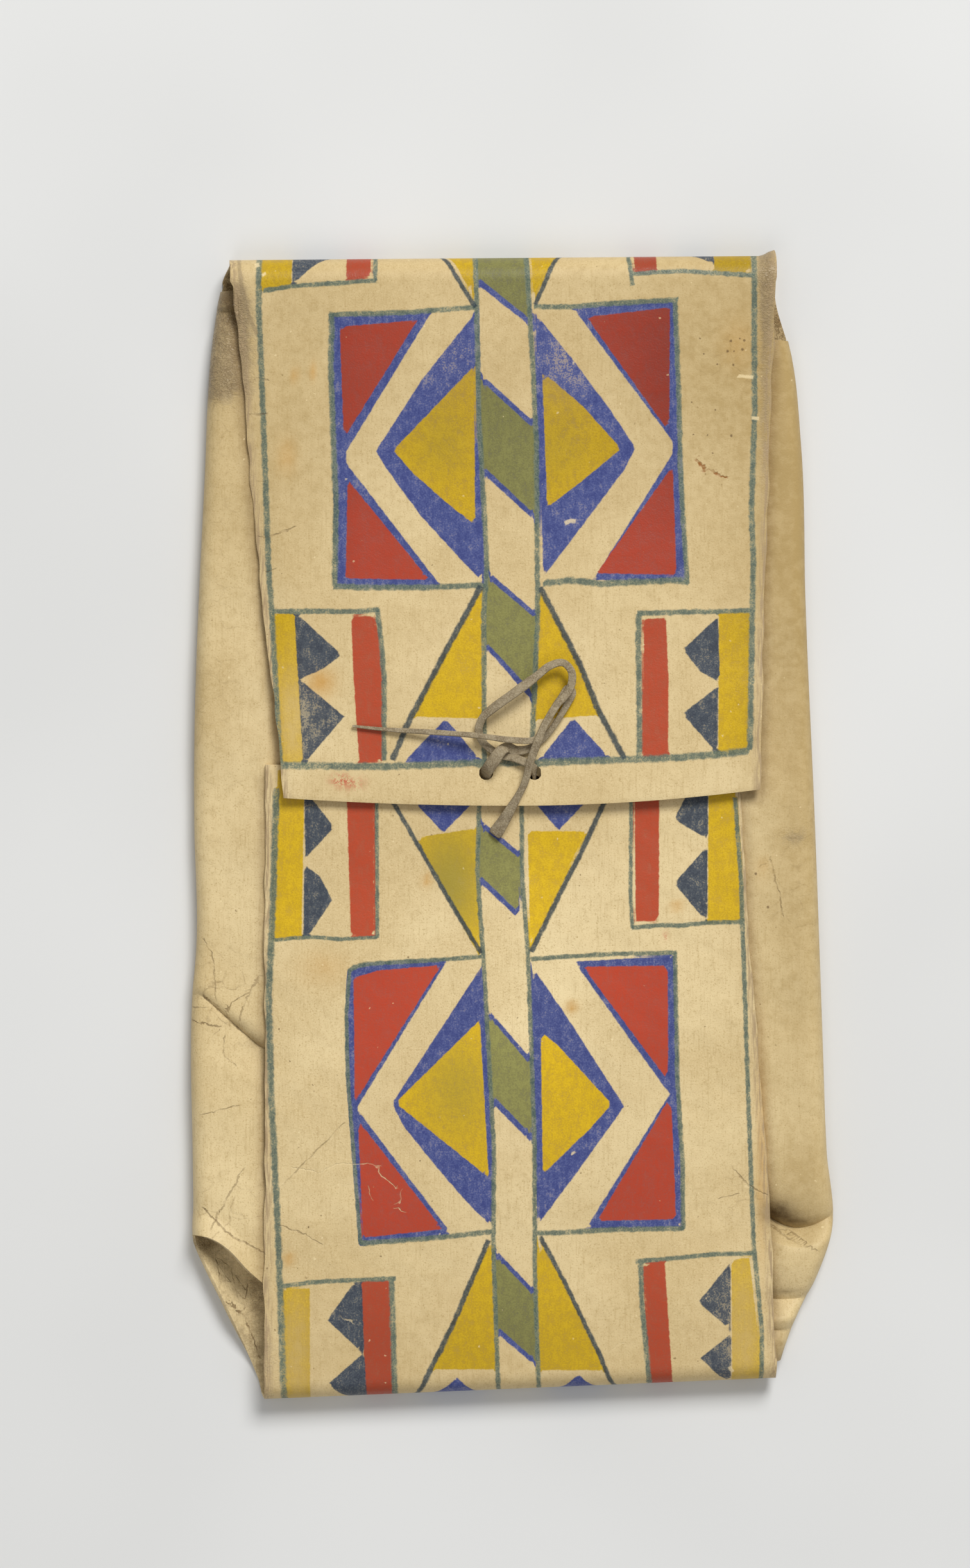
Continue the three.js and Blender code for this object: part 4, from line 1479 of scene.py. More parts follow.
    def back_places(self) -> Array:
        """Rows of the back, close together at the creases and cuts.

        Returns:
            Places along the middle line, from the upper fold to the lower.
        """
        pinch_shares = (-1.5, -1, -0.75, -0.5, -0.25, 0, 0.08, 0.16, 0.25, 0.35, 0.5, 0.75, 1, 1.4)
        edge_shares = (0.1, 0.2, 0.35, 0.5, 0.7, 1.0)
        fixed = {self.foot, *self.left_flap, *self.right_flap, *(pinch.place for pinch in self.pinches)}
        breaks = fixed | {self.top}
        for low, high in (self.left_flap, self.right_flap):
            for fade in (self.cut_fade / 2, self.cut_fade):
                breaks |= {low - fade, high + fade}
        for pinch in self.pinches:
            breaks |= {pinch.place + s * (pinch.above if s > 0 else pinch.below) for s in pinch_shares}
        breaks |= {self.left_flap[0] + self.free_edge_reach * share for share in edge_shares}
        places = [self.top]
        for stop in sorted((b for b in breaks if self.foot <= b < self.top), reverse=True):
            start = places[-1]
            if start - stop < self.least_step and stop not in fixed:
                continue
            fine = self.fine_span[0] < (start + stop) / 2 < self.fine_span[1]
            steps = max(1, math.ceil((start - stop) / (self.fine_step if fine else self.back_step)))
            places.extend(start + (stop - start) * (step + 1) / steps for step in range(steps))
        return np.array(places)

    def blank(self) -> Rows:
        """Rows of the blank: their stretch, share or turn, place, and left and right edge.

        Returns:
            One array for each of these.
        """
        share = np.arange(self.flap_rows) / self.flap_rows
        rising = math.pi * (np.arange(self.fold_rows) + 1) / self.fold_rows
        falling, fallen = rising[::-1], 1 - share[::-1]
        back = self.back_places()
        upper = self.upper_end + (self.top - self.upper_end) * share
        lower = self.foot + (self.lower_end - self.foot) * fallen
        tops = (self.upper_left[-1][1], self.upper_right[-1][1])
        feet = (self.lower_left[0][1], self.lower_right[0][1])
        level = np.ones(self.fold_rows)
        upper_edges = [through(edge, upper) for edge in (self.upper_left, self.upper_right)]
        lower_edges = [through(edge, lower) for edge in (self.lower_left, self.lower_right)]
        stretches = {
            Zone.UPPER_FLAP: (share, upper, *upper_edges),
            Zone.UPPER_FOLD: (falling, self.top * level, *self.fold_edges(falling, self.top, tops)),
            Zone.BACK: (back, back, *self.back_edges(back)),
            Zone.LOWER_FOLD: (rising, self.foot * level, *self.fold_edges(rising, self.foot, feet)),
            Zone.LOWER_FLAP: (fallen, lower, *lower_edges),
        }
        rows = {"zone": np.concatenate([np.full(len(s[0]), zone.value) for zone, s in stretches.items()])}
        for index, name in enumerate(("step", "place", "left", "right")):
            rows[name] = np.concatenate([stretch[index] for stretch in stretches.values()])
        return rows

    def fold_edges(self, turn: Array, place: float, flap: Pair) -> list[Array]:
        """Left and right edge of an end fold, which widen from the flap's to the back's as it turns."""
        share = 1 - ease(turn, 0, math.pi / 2)
        return [edge + (back - edge) * share for edge, back in zip(flap, self.back_edges(np.array([place])))]

    def back_edges(self, places: Array) -> list[Array]:
        """Left and right edge of each row of the back, which stops at a side fold where there is one.

        Args:
            places: the rows' places.

        Returns:
            Distance of the left and of the right edge from the middle line.
        """
        edges = []
        sides = ((self.left_outline, self.left_flap), (self.right_outline, self.right_flap))
        for outline, (low, high) in sides:
            past = np.maximum(np.maximum(low - places, places - high), 0)
            edges.append(through(outline, places) - self.side_inset * (1 - ease(past, 0, self.cut_fade)))
        return edges

    def shape(self) -> tuple[Array, Array, Array, Rows]:
        """The folded blank.

        Returns:
            The points by row and column, the places along the upper and along the lower flap laid flat,
            and the rows.
        """
        rows = self.blank()
        shares = np.linspace(0, 1, self.middle_columns + 1)
        run = np.linspace(0, self.flat_size[1], len(rows["place"]))
        free = self.edge_waver * (rows["zone"] != Zone.BACK.value)
        wavers = [free * ripple(0 * run, run, self.waver_wave, seed) for seed in self.waver_seeds]
        left = (wavers[0] - rows["left"])[:, None]
        right = (wavers[1] + rows["right"])[:, None]
        x = left + (right - left) * shares[None, :]
        y, z = np.zeros_like(x), np.zeros_like(x)
        upper_flat, lower_flat = np.full_like(x, OFF), np.full_like(x, -OFF)
        step = np.broadcast_to(rows["step"][:, None], x.shape)
        for zone in Zone:
            at = rows["zone"] == zone.value
            across, turn = x[at], step[at]
            top, foot = self.top + self.upper_slant * across, self.foot + self.lower_slant * across
            if zone is Zone.UPPER_FLAP:
                y[at] = self.upper_edge(across) + (top - self.upper_edge(across)) * turn
                z[at] = self.upper_surface(y[at])
                upper_flat[at] = y[at]
            elif zone is Zone.UPPER_FOLD:
                ragged = self.corner_tear * ease(across, *self.tear_span)
                y[at] = top + (self.upper_radius + ragged) * np.sin(turn)
                z[at] = self.back_height + self.upper_radius * (1 - np.cos(turn))
                upper_flat[at] = top + self.upper_radius * (math.pi - turn)
            elif zone is Zone.BACK:
                y[at] = turn + self.slant(turn) * across
                z[at] = self.back_height
                upper_flat[at] = 2 * top + math.pi * self.upper_radius - y[at]
                lower_flat[at] = 2 * foot - math.pi * self.lower_radius - y[at]
            elif zone is Zone.LOWER_FOLD:
                y[at] = foot - self.lower_radius * np.sin(turn)
                z[at] = self.back_height + self.lower_radius * (1 - np.cos(turn))
                lower_flat[at] = foot - self.lower_radius * (math.pi - turn)
            else:
                y[at] = foot + (self.lower_end - foot) * turn
                z[at] = self.lower_surface(y[at])
                lower_flat[at] = y[at]
        middle = np.stack((x, y, z), axis=2)
        self.settle(middle, rows, shares)
        points = np.hstack((self.side_points(rows, -1), middle, self.side_points(rows, 1)))
        flanks = ((0, 0), (self.flanks, self.flanks))
        upper_flat = np.pad(upper_flat, flanks, constant_values=OFF)
        lower_flat = np.pad(lower_flat, flanks, constant_values=-OFF)
        return points, upper_flat, lower_flat, rows

    def settle(self, middle: Array, rows: Rows, shares: Array) -> None:
        """Lets the flaps roll, buckle and droop, and curls the back's bare margin, in place.

        Args:
            middle: points of the middle strip.
            rows: the blank's rows.
            shares: each column's share of the way across.
        """
        x, y = middle[..., 0], middle[..., 1]
        beside = np.minimum(shares, 1 - shares)[None, :]
        droop = self.edge_droop * (1 - ease(beside, 0, self.droop_share))
        droop = droop + self.edge_bend * (1 - ease(beside, 0, self.bend_share))
        for zone, fold in ((Zone.UPPER_FLAP, self.upper_fold), (Zone.LOWER_FLAP, self.lower_fold)):
            at = rows["zone"] == zone.value
            away = ease(np.abs(y[at] - fold), *self.stiff_span)
            swell = self.roll * ripple(x[at], y[at], self.roll_wave, self.roll_seed + zone.value)
            bumps = ripple(x[at], y[at], self.buckle_wave, self.buckle_seed + zone.value)
            upper = zone is Zone.UPPER_FLAP
            share = ease(y[at], *self.upper_droop_span) if upper else self.lower_droop
            middle[at, :, 2] += away * (swell + self.buckle * bumps - droop * share)
        at = rows["zone"] == Zone.BACK.value
        rise = self.margin_curl * np.clip(1 - (x[at] - x[at][:, :1]) / self.margin_reach, 0, 1) ** 2
        bare = ease(y[at] - self.left_flap[0], *self.margin_fade)
        middle[at, :, 2] += rise * bare * ease(y[at] - self.lower_fold, *self.margin_foot)

    def side_points(self, rows: Rows, side: int) -> Array:
        """A side flap and its fold, in the order of the blank's columns.

        Args:
            rows: the blank's rows.
            side: -1 for the left flap, 1 for the right.

        Returns:
            The points by row and column.
        """
        counts = np.arange(self.side_columns, 0, -1)
        seen = np.minimum(counts, self.seen_columns) * self.seen_step
        hidden = np.maximum(counts - self.seen_columns, 0) / (self.side_columns - self.seen_columns)
        turned = 1 - np.arange(self.fold_columns) / self.fold_columns
        turn = math.pi * np.concatenate((np.ones(self.side_columns), turned))
        tangent = (rows["left"] if side < 0 else rows["right"])[:, None]
        inward = seen + hidden * (tangent - self.flap_inner - self.seen_columns * self.seen_step)
        inward = np.hstack((inward, np.zeros((len(tangent), self.fold_columns))))
        along = np.broadcast_to(rows["place"][:, None], inward.shape)
        distance = tangent - inward + self.side_radius * np.sin(turn)
        folded = (1 - np.cos(turn)) / 2
        moves = [pinch.fold(distance, along) for pinch in self.pinches if pinch.side == side]
        strip = folded * ease(distance, *self.pinch_span)
        across = distance * side
        swell = self.roll * self.side_roll * ripple(across, along, self.side_roll_wave, self.side_roll_seed)
        swell = swell + self.buckle * ripple(across, along, self.side_buckle_wave, self.side_buckle_seed)
        height = self.back_height + 2 * self.side_radius * folded + swell * folded**2
        height = height - strip * np.max([drop for drop, _ in moves], axis=0)
        height = np.maximum(height, self.back_height + self.crease_floor * folded)
        slide = self.slant(along) * side * tangent + strip * np.sum([shift for _, shift in moves], axis=0)
        if side < 0:
            low = self.left_flap[0]
            lift = self.free_edge_lift * np.clip(1 - (along - low) / self.free_edge_reach, 0, 1)
            height = height + lift * folded**2 * ease(distance, *self.free_edge_span)
            fade = 1 - ease(along, low, low + self.left_end_reach)
            slide = slide - through(self.left_end_slant, distance) * fade
        points = np.stack((across, along + slide, height), axis=2)
        return points if side < 0 else points[:, ::-1]

    def kept_cells(self, rows: Rows, columns: int) -> Array:
        """Which cells of the blank are hide, and not one of the corners cut away between the flaps.

        Args:
            rows: the blank's rows.
            columns: number of the blank's columns of points.

        Returns:
            True for each kept cell, by row and column.
        """
        last = columns - 1 - self.flanks
        kept = np.zeros((len(rows["place"]) - 1, columns - 1), dtype=bool)
        kept[:, self.flanks:last] = True
        back = rows["zone"] == Zone.BACK.value
        above, below = rows["place"][:-1], rows["place"][1:]
        sides = ((slice(0, self.flanks), self.left_flap), (slice(last, None), self.right_flap))
        for span, (low, high) in sides:
            inside = back[:-1] & back[1:] & (below >= low - TINY) & (above <= high + TINY)
            kept[:, span] |= inside[:, None]
        return kept

    def punch(self, points: Array, rows: Rows, kept: Array) -> None:
        """Opens the lacing holes: takes out their cells and rounds what is left of each rim, in place.

        Args:
            points: the folded blank.
            rows: the blank's rows.
            kept: the kept cells.
        """
        middles = (points[:-1, :-1] + points[1:, 1:] + points[:-1, 1:] + points[1:, :-1]) / 4
        for zone, place in ((Zone.UPPER_FLAP, self.upper_hole), (Zone.LOWER_FLAP, self.lower_hole)):
            at = (rows["zone"] == zone.value)[:-1, None]
            for side in (-1, 1):
                centre = np.array((self.hole_middle + side * self.hole_spacing / 2, place))
                cut = at & kept & (np.linalg.norm(middles[..., :2] - centre, axis=2) < self.hole_radius)
                kept &= ~cut
                ring = np.zeros(points.shape[:2], dtype=bool)
                for down, right in ((0, 0), (0, 1), (1, 0), (1, 1)):
                    ring[down:down + cut.shape[0], right:right + cut.shape[1]] |= cut
                moved = points[ring]
                offset = moved[:, :2] - centre
                length = np.maximum(np.linalg.norm(offset, axis=1, keepdims=True), TINY)
                moved[:, :2] = centre + offset / length * self.hole_radius
                points[ring] = moved

    def build(self, ruler: Ruler) -> Piece:
        """Folds the blank and gives it its thickness and its marks.

        Args:
            ruler: the ruler that the pattern was read with.

        Returns:
            The hide.
        """
        points, upper_flat, lower_flat, rows = self.shape()
        count, columns = points.shape[:2]
        kept = self.kept_cells(rows, columns)
        self.punch(points, rows, kept)
        blank = bmesh.new()
        bmesh.ops.create_grid(blank, x_segments=columns - 1, y_segments=count - 1, size=1.0)
        order = blank.verts.layers.int.new("order")
        for vert in blank.verts:
            column = round((vert.co.x + 1) / 2 * (columns - 1))
            row = round((vert.co.y + 1) / 2 * (count - 1))
            vert[order] = row * columns + column
            vert.co = points[row, column]
        firsts = [(face, min(vert[order] for vert in face.verts)) for face in blank.faces]
        cut = [face for face, first in firsts if not kept[first // columns, first % columns]]
        bmesh.ops.delete(blank, geom=cut, context="FACES")
        index = np.array([vert[order] for vert in blank.verts])
        blank.verts.layers.int.remove(order)
        hide = meshed(self.name, blank)
        for name, value in self.values(points, (upper_flat, lower_flat), rows, ruler).items():
            layer = hide.data.attributes.new(name, "FLOAT", "POINT")
            layer.data.foreach_set("value", value.ravel()[index].astype(np.float32))
        wall = hide.modifiers.new("thickness", "SOLIDIFY")
        wall.thickness = self.thickness
        wall.offset = 0.0
        wall.use_even_offset = True
        wall.material_offset = 1
        wall.material_offset_rim = 2
        rim = hide.modifiers.new("worn_edge", "BEVEL")
        rim.width = self.rim_width
        rim.segments = 2
        rim.limit_method = "ANGLE"
        rim.angle_limit = self.rim_angle
        return hide

    def values(self, points: Array, flats: tuple[Array, Array], rows: Rows, ruler: Ruler) -> Rows:
        """What is painted and worn at each point of the blank.

        Args:
            points: the folded blank.
            flats: places along the upper and along the lower flap laid flat.
            rows: the blank's rows.
            ruler: the ruler that the pattern was read with.

        Returns:
            Values by their names: distances in millimetres, lines in half widths, patches and painted shade
                as strengths.
        """
        upper, lower = (np.column_stack((points[..., 0].ravel(), flat.ravel())) for flat in flats)
        seen = points[..., :2].reshape(-1, 2)
        values: Rows = {}
        for pigment in Pigment:
            nearest = np.full(len(seen), FAR * MILLIMETRE)
            for spots, table in ((upper, UPPER_FIELDS), (lower, LOWER_FIELDS)):
                for corners in table[pigment].values():
                    nearest = np.minimum(nearest, Field(corners).distance(spots, ruler))
            values[pigment.value] = nearest / MILLIMETRE
        sets = ((upper, UPPER_LINES), (lower, LOWER_LINES), (seen, WORN_LINES))
        for mark in Mark:
            lines = [(spots, Line(*row)) for spots, table in sets for row in table.get(mark, {}).values()]
            values[mark.value], values[mark.value + PAST] = self.nearest_line(lines, ruler)
        shown = np.ones(points.shape[:2], dtype=bool)
        shown[rows["zone"] == Zone.BACK.value, self.flanks:-self.flanks] = False
        for blot, patches in PATCHES.items():
            weight = sum(patch.weight(seen, ruler) for patch in patches)
            values[blot.value] = np.where(shown.ravel() | (blot is Blot.GRIME), weight, 0.0)
        values[Wear.MARGIN.value] = self.margin(points, rows) / MILLIMETRE
        values[Wear.SHELTER.value] = self.shelter(points)
        return values

    def nearest_line(self, lines: list[tuple[Array, Line]], ruler: Ruler) -> tuple[Array, Array]:
        """The nearest of a set of lines at each point.

        Args:
            lines: each line, with the places to read it at.
            ruler: the ruler that the lines were read with.

        Returns:
            The distance across the line in its half widths, and the distance past its ends in millimetres.
        """
        nearest = np.full(len(lines[0][0]), np.inf)
        across, past = np.full((2, len(nearest)), FAR)
        for spots, line in lines:
            distance, side, over = line.reach(spots, ruler)
            closer = distance < nearest
            half = line.width * ruler.pixel / 2
            nearest = np.where(closer, distance, nearest)
            across = np.where(closer, side / half, across)
            past = np.where(closer, np.maximum(over, np.abs(side) - self.line_clear) / MILLIMETRE, past)
        return across, past

    def shelter(self, points: Array) -> Array:
        """Painted shade on the side flaps, with some soiling, along the edges of the flaps that lie over
        them.

        Args:
            points: the folded blank.

        Returns:
            Strength of the painted shade at each point.
        """
        x, y = points[..., 0], points[..., 1]
        lower = np.where(x < 0, through(self.lower_left, y), through(self.lower_right, y))
        upper = np.where(x < 0, through(self.upper_left, y), through(self.upper_right, y))
        cover = np.maximum(np.where(y < self.lower_end, lower, 0), np.where(y > self.upper_end, upper, 0))
        beside = np.maximum(np.abs(x) - cover, 0) / self.shelter_reach
        weight = self.shelter_strength * np.exp(-(beside**2))
        weight[:, self.flanks:-self.flanks] = 0
        return weight

    def margin(self, points: Array, rows: Rows) -> Array:
        """Distance from the long edge of the flap that each point is on.

        Args:
            points: the folded blank.
            rows: the blank's rows.

        Returns:
            The distance in metres.
        """
        x = points[:, self.flanks:-self.flanks, 0]
        gap = np.full(points.shape[:2], FAR * MILLIMETRE)
        gap[:, self.flanks:-self.flanks] = np.minimum(x - x[:, :1], x[:, -1:] - x)
        gap[rows["zone"] == Zone.BACK.value] = FAR * MILLIMETRE
        return gap

    def dress(self, hide: Piece, effects: Effects) -> None:
        """Gives the hide its outer side, its flesh side and its cut edge.

        Args:
            hide: the hide.
            effects: the shared shader groups.
        """
        rawhide = RawhideFinish()
        hide.data.materials.append(PaintedHide(rawhide, PaintFinish(), effects).material())
        hide.data.materials.append(rawhide.inner("flesh_side", effects, self.flesh_white))
        hide.data.materials.append(rawhide.inner("cut_edge", effects, self.edge_white))

    def declare(self, hide: Piece) -> None:
        """Attaches the hide to the root body and hides the imported part that it replaces.

        Args:
            hide: the hide.
        """
        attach(hide, BODY)
        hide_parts(self.node)


@dataclass(frozen=True)
class Stretch:
    """A stretch of the thong: points right of, above and over the knot, and the way its flat side faces."""

    points: tuple[Triple, ...]
    facing: Triple


@dataclass
class TieThong:
    """The buckskin thong, laced through the flaps and tied in a half bow."""

    name: str = "tie_thong_strap"
    node: str = "tie_thong"
    width: float = 0.0058
    thickness: float = 0.0020
    thinnest: float = 0.45
    flatness: float = 0.45
    cut_widths: Pairs = (
        (0.0, 0.0014), (0.03, 0.0029), (0.06, 0.0033), (0.10, 0.0038), (0.125, 0.0046), (0.19, 0.0047),
        (0.207, 0.0070), (0.220, 0.0082), (0.230, 0.0076), (0.242, 0.0066), (0.26, 0.0060), (0.28, 0.0052),
        (0.318, 0.0047), (0.335, 0.0055), (0.36, 0.0057), (0.383, 0.0048), (0.43, 0.0046), (0.452, 0.0047),
        (0.465, 0.0041), (0.475, 0.0048), (0.487, 0.0068), (0.498, 0.0082), (0.502, 0.0078),
    )
    cut_wander: float = 0.07
    wander_lengths: Pair = (0.011, 0.0047)
    wander_phase: float = 1.0
    length: float = 0.505
    knot: Triple = (-0.001, 0.0302, 0.0278)
    steps: int = 6
    sides: int = 12
    smoothings: int = 6
    stretches: tuple[Stretch, ...] = (
        Stretch(((-0.0913, 0.0271, 0.0021), (-0.0727, 0.0252, 0.0026), (-0.0429, 0.0234, 0.0055),
                 (-0.0187, 0.0215, 0.0088), (0.0017, 0.0189, 0.0080)), (0.0, 0.3, 1.0)),
        Stretch(((0.0150, 0.0196, 0.0065), (0.0201, 0.0286, 0.0055), (0.0261, 0.0382, 0.0045),
                 (0.0299, 0.0438, 0.0037), (0.0333, 0.0490, 0.0032), (0.0360, 0.0468, 0.0030),
                 (0.0330, 0.0401, 0.0030), (0.0263, 0.0289, 0.0030), (0.0197, 0.0206, 0.0026),
                 (0.0109, 0.0141, 0.0024), (0.0034, 0.0129, 0.0027)), (0.1, 0.0, 1.0)),
        Stretch(((-0.0014, 0.0147, 0.0042), (-0.0052, 0.0129, 0.0072), (-0.0096, 0.0070, 0.0073),
                 (-0.0132, 0.0018, 0.0040)), (-0.3, 0.2, 1.0)),
        Stretch(((-0.0140, 0.0, -0.0011), (-0.0140, -0.0026, -0.0037), (-0.0136, -0.0052, -0.0063)),
                (-0.45, -0.9, 0.0)),
        Stretch(((-0.0102, -0.0056, -0.0108), (0.0, -0.0057, -0.0112), (0.0102, -0.0056, -0.0108)),
                (0.0, 0.0, -1.0)),
        Stretch(((0.0136, -0.0052, -0.0063), (0.0140, -0.0026, -0.0037), (0.0140, 0.0, -0.0011)),
                (1.0, -0.3, 0.0)),
        Stretch(((0.0132, 0.0032, 0.0036), (0.0073, 0.0068, 0.0042), (0.0006, 0.0092, 0.0032),
                 (-0.0053, 0.0103, 0.0023), (-0.0113, 0.0137, 0.0023), (-0.0161, 0.0182, 0.0026),
                 (-0.0183, 0.0241, 0.0040)), (0.1, 0.1, 1.0)),
        Stretch(((-0.0161, 0.0316, 0.0065), (-0.0102, 0.0371, 0.0085), (0.0017, 0.0457, 0.0098),
                 (0.0148, 0.0555, 0.0093), (0.0228, 0.0618, 0.0080), (0.0304, 0.0636, 0.0075),
                 (0.0352, 0.0588, 0.0075), (0.0354, 0.0516, 0.0080), (0.0322, 0.0450, 0.0085),
                 (0.0267, 0.0390, 0.0095)), (-0.25, 0.35, 1.0)),
        Stretch(((0.0203, 0.0284, 0.0110), (0.0158, 0.0180, 0.0110), (0.0113, 0.0056, 0.0085),
                 (0.0084, -0.0056, 0.0060), (0.0029, -0.0161, 0.0044), (-0.0035, -0.0272, 0.0006),
                 (-0.0094, -0.0362, -0.0029)), (-0.2, 0.1, 1.0)),
    )

    def route(self) -> tuple[Array, Array]:
        """The thong's centre line and facing, evenly read along the route.

        Returns:
            The points and the facings.
        """
        knots = np.array([point for stretch in self.stretches for point in stretch.points]) + self.knot
        ways = np.array([stretch.facing for stretch in self.stretches for _ in stretch.points])
        ends = np.vstack((2 * knots[0] - knots[1], knots, 2 * knots[-1] - knots[-2]))
        line, facing = [], []
        for index in range(len(knots) - 1):
            for share in np.arange(self.steps) / self.steps:
                line.append(self.between(ends[index:index + 4], share))
                facing.append(ways[index] * (1 - share) + ways[index + 1] * share)
        return np.array([*line, knots[-1]]), np.array([*facing, ways[-1]])

    def between(self, four: Array, t: float) -> Array:
        """A point between the middle two of four route points, on a smooth curve.

        Args:
            four: the four points.
            t: the share of the way from the second to the third.

        Returns:
            The point.
        """
        gaps = np.sqrt(np.maximum(np.linalg.norm(np.diff(four, axis=0), axis=1), TINY))
        chord = (four[2] - four[1]) / gaps[1]
        start = ((four[1] - four[0]) / gaps[0] - (four[2] - four[0]) / (gaps[0] + gaps[1]) + chord) * gaps[1]
        stop = (chord - (four[3] - four[1]) / (gaps[1] + gaps[2]) + (four[3] - four[2]) / gaps[2]) * gaps[1]
        fall = 2 * t**3 - 3 * t**2 + 1
        return fall * four[1] + (t**3 - 2 * t**2 + t) * start + (1 - fall) * four[2] + (t**3 - t**2) * stop

    def frames(self, line: Array, facing: Array) -> tuple[Array, Array]:
        """Directions across the strap and out of its flat side, along the line.

        Args:
            line: the centre line.
            facing: the way the flat side faces.

        Returns:
            The direction across and the direction out, at each point.
        """
        heading = np.gradient(line, axis=0)
        heading /= np.linalg.norm(heading, axis=1, keepdims=True)
        out = facing / np.linalg.norm(facing, axis=1, keepdims=True)
        for _ in range(self.smoothings):
            out = self.upright(out, heading)
            out[1:-1] = (out[:-2] + 2 * out[1:-1] + out[2:]) / 4
        out = self.upright(out, heading)
        return np.cross(heading, out), out

    def upright(self, out: Array, heading: Array) -> Array:
        """Directions of length 1, made square to the line's heading."""
        out = out - heading * np.sum(out * heading, axis=1, keepdims=True)
        return out / np.maximum(np.linalg.norm(out, axis=1, keepdims=True), TINY)

    def widths(self, line: Array) -> Array:
        """Width of the strap along the line, tapered to its long tip and cut unevenly.

        Args:
            line: the centre line.

        Returns:
            The width at each point.
        """
        run = np.concatenate(((0,), np.cumsum(np.linalg.norm(np.diff(line, axis=0), axis=1))))
        long, short = self.wander_lengths
        wander = self.cut_wander * np.sin(run / long) * np.sin(run / short + self.wander_phase)
        return through(self.cut_widths, run) * (1 + wander)

    def build(self) -> tuple[Piece, Array]:
        """Sweeps the strap along its route.

        Returns:
            The thong and its centre line.
        """
        line, facing = self.route()
        across, out = self.frames(line, facing)
        widths = self.widths(line)
        strap = bmesh.new()
        ring = bmesh.ops.create_circle(strap, cap_ends=True, segments=self.sides, radius=1.0)["verts"]
        section = [tuple(vert.co.xy) for vert in ring]
        face = next(iter(strap.faces))
        self.lay(ring, section, line[0], (across[0], out[0]), widths[0])
        for index in range(1, len(line)):
            face = bmesh.ops.extrude_discrete_faces(strap, faces=[face])["faces"][0]
            self.lay(list(face.verts), section, line[index], (across[index], out[index]), widths[index])
        bmesh.ops.recalc_face_normals(strap, faces=strap.faces)
        thong = meshed(self.name, strap)
        smooth = thong.modifiers.new("soft_strap", "SUBSURF")
        smooth.levels = 1
        smooth.render_levels = 1
        return thong, line

    def lay(
        self, ring: list, section: list[Pair], point: Array, ways: tuple[Array, Array], width: float
    ) -> None:
        """Places one ring of the strap.

        Args:
            ring: the ring's vertices.
            section: their places round the section.
            point: the ring's centre.
            ways: directions across and out.
            width: width of the strap there.
        """
        thick = self.thickness * min(1.0, self.thinnest + (1 - self.thinnest) * width / self.width)
        for vert, (right, up) in zip(ring, section):
            side = math.copysign(abs(right) ** self.flatness, right) * width / 2
            rise = math.copysign(abs(up) ** self.flatness, up) * thick / 2
            vert.co = Vector(point + ways[0] * side + ways[1] * rise)

    def declare(self, thong: Piece, line: Array) -> None:
        """Attaches the thong to the root body and hides the imported part that it replaces.

        Args:
            thong: the thong.
            line: its centre line; not used.
        """
        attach(thong, BODY)
        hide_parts(self.node)


@dataclass(frozen=True)
class Lamp:
    """A square soft lamp: its name, where it stands, its side and its power in watts."""

    name: str
    place: Triple
    size: float
    power: float

    def hang(self) -> None:
        """Puts the lamp into the scene, aimed at the envelope."""
        data = bpy.data.lights.new(self.name, "AREA")
        data.shape = "SQUARE"
        data.size = self.size
        data.energy = self.power
        lamp = placed(self.name, data)
        lamp.location = self.place
        lamp.rotation_mode = "QUATERNION"
        lamp.rotation_quaternion = (-Vector(self.place)).to_track_quat("-Z", "Y")


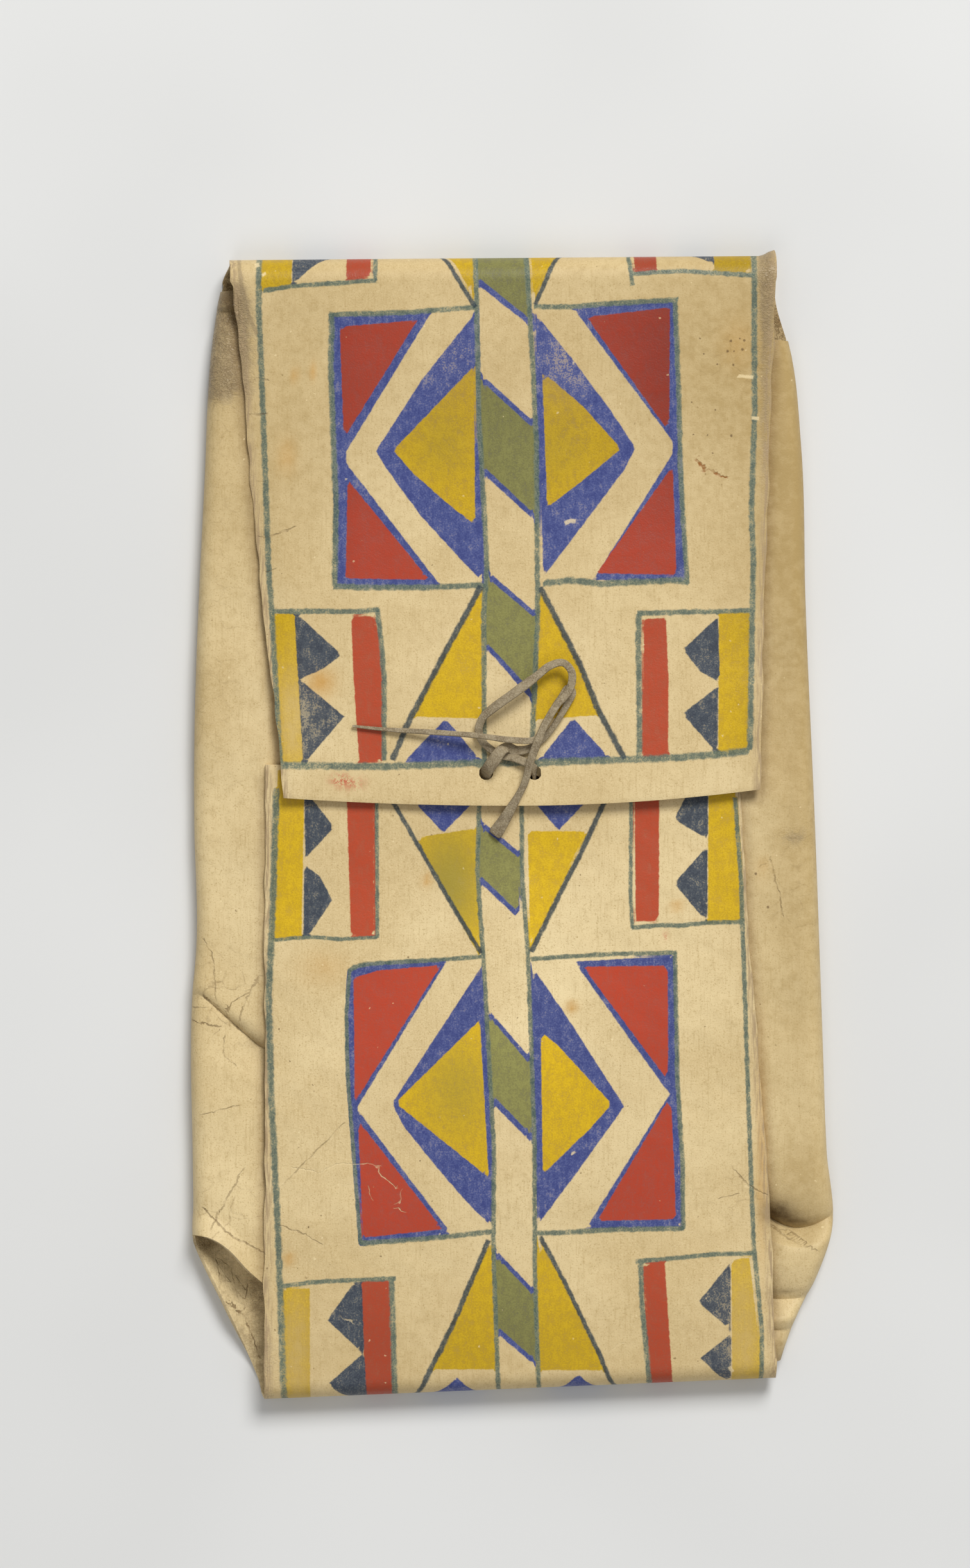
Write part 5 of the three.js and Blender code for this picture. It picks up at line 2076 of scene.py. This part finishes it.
@dataclass
class Studio:
    """A plain pale floor, soft lamps and a camera straight above, as the envelope was photographed."""

    floor_size: float = 6.0
    picture: Pair = (1512.0, 2444.0)
    camera_height: float = 2.5
    focus_height: float = 0.024
    sensor: float = 36.0
    sky: float = 0.3
    lamps: tuple[Lamp, ...] = (
        Lamp("key_lamp", (1.7, 4.3, 5.1), 2.6, 400.0),
        Lamp("fill_lamp", (-0.5, -2.2, 3.6), 2.2, 26.0),
    )

    def camera(self, ruler: Ruler) -> None:
        """Sets up the camera.

        Args:
            ruler: the photograph's ruler, which gives the middle of the picture and its scale.
        """
        data = bpy.data.cameras.new("camera")
        data.sensor_fit = "VERTICAL"
        data.sensor_height = self.sensor
        data.sensor_width = self.sensor
        framed = self.picture[1] * ruler.pixel
        data.lens = self.sensor * (self.camera_height - self.focus_height) / framed
        camera = placed("camera", data)
        middle = ruler.places([(self.picture[0] / 2, self.picture[1] / 2)])[0]
        camera.location = (middle[0], middle[1], self.camera_height)
        bpy.context.scene.camera = camera

    def floor(self) -> None:
        """Lays the floor and gives it its finish."""
        sheet = bmesh.new()
        bmesh.ops.create_grid(sheet, x_segments=1, y_segments=1, size=self.floor_size / 2)
        floor = meshed("studio_floor", sheet)
        floor.data.materials.append(FloorFinish().material())

    def light(self) -> None:
        """Lights the envelope from beyond its upper end, with a weaker fill and an even sky."""
        for lamp in self.lamps:
            lamp.hang()
        world = bpy.data.worlds.new("studio_sky")
        world.use_nodes = True
        background = next(node for node in world.node_tree.nodes if node.type == "BACKGROUND")
        background.inputs["Color"].default_value = (1.0, 1.0, 1.0, 1.0)
        background.inputs["Strength"].default_value = self.sky
        bpy.context.scene.world = world


def main() -> None:
    """Builds the studio, the thong and the hide, in that order."""
    logging.basicConfig(level=logging.INFO, format="%(name)s: %(message)s")
    bpy.context.scene.view_settings.view_transform = "Standard"
    ruler = Ruler()
    studio = Studio()
    studio.camera(ruler)
    studio.floor()
    studio.light()
    effects = Effects(grain_group(), crayon_group(), crack_group())
    thong_maker = TieThong()
    thong, line = thong_maker.build()
    thong.data.materials.append(BuckskinFinish().material(effects))
    thong_maker.declare(thong, line)
    log.info("%s: %d faces", thong.name, len(thong.data.polygons))
    hide_maker = FoldedHide()
    hide = hide_maker.build(ruler)
    hide_maker.dress(hide, effects)
    hide_maker.declare(hide)
    log.info("%s: %d faces", hide.name, len(hide.data.polygons))


if __name__ == "__main__":
    main()
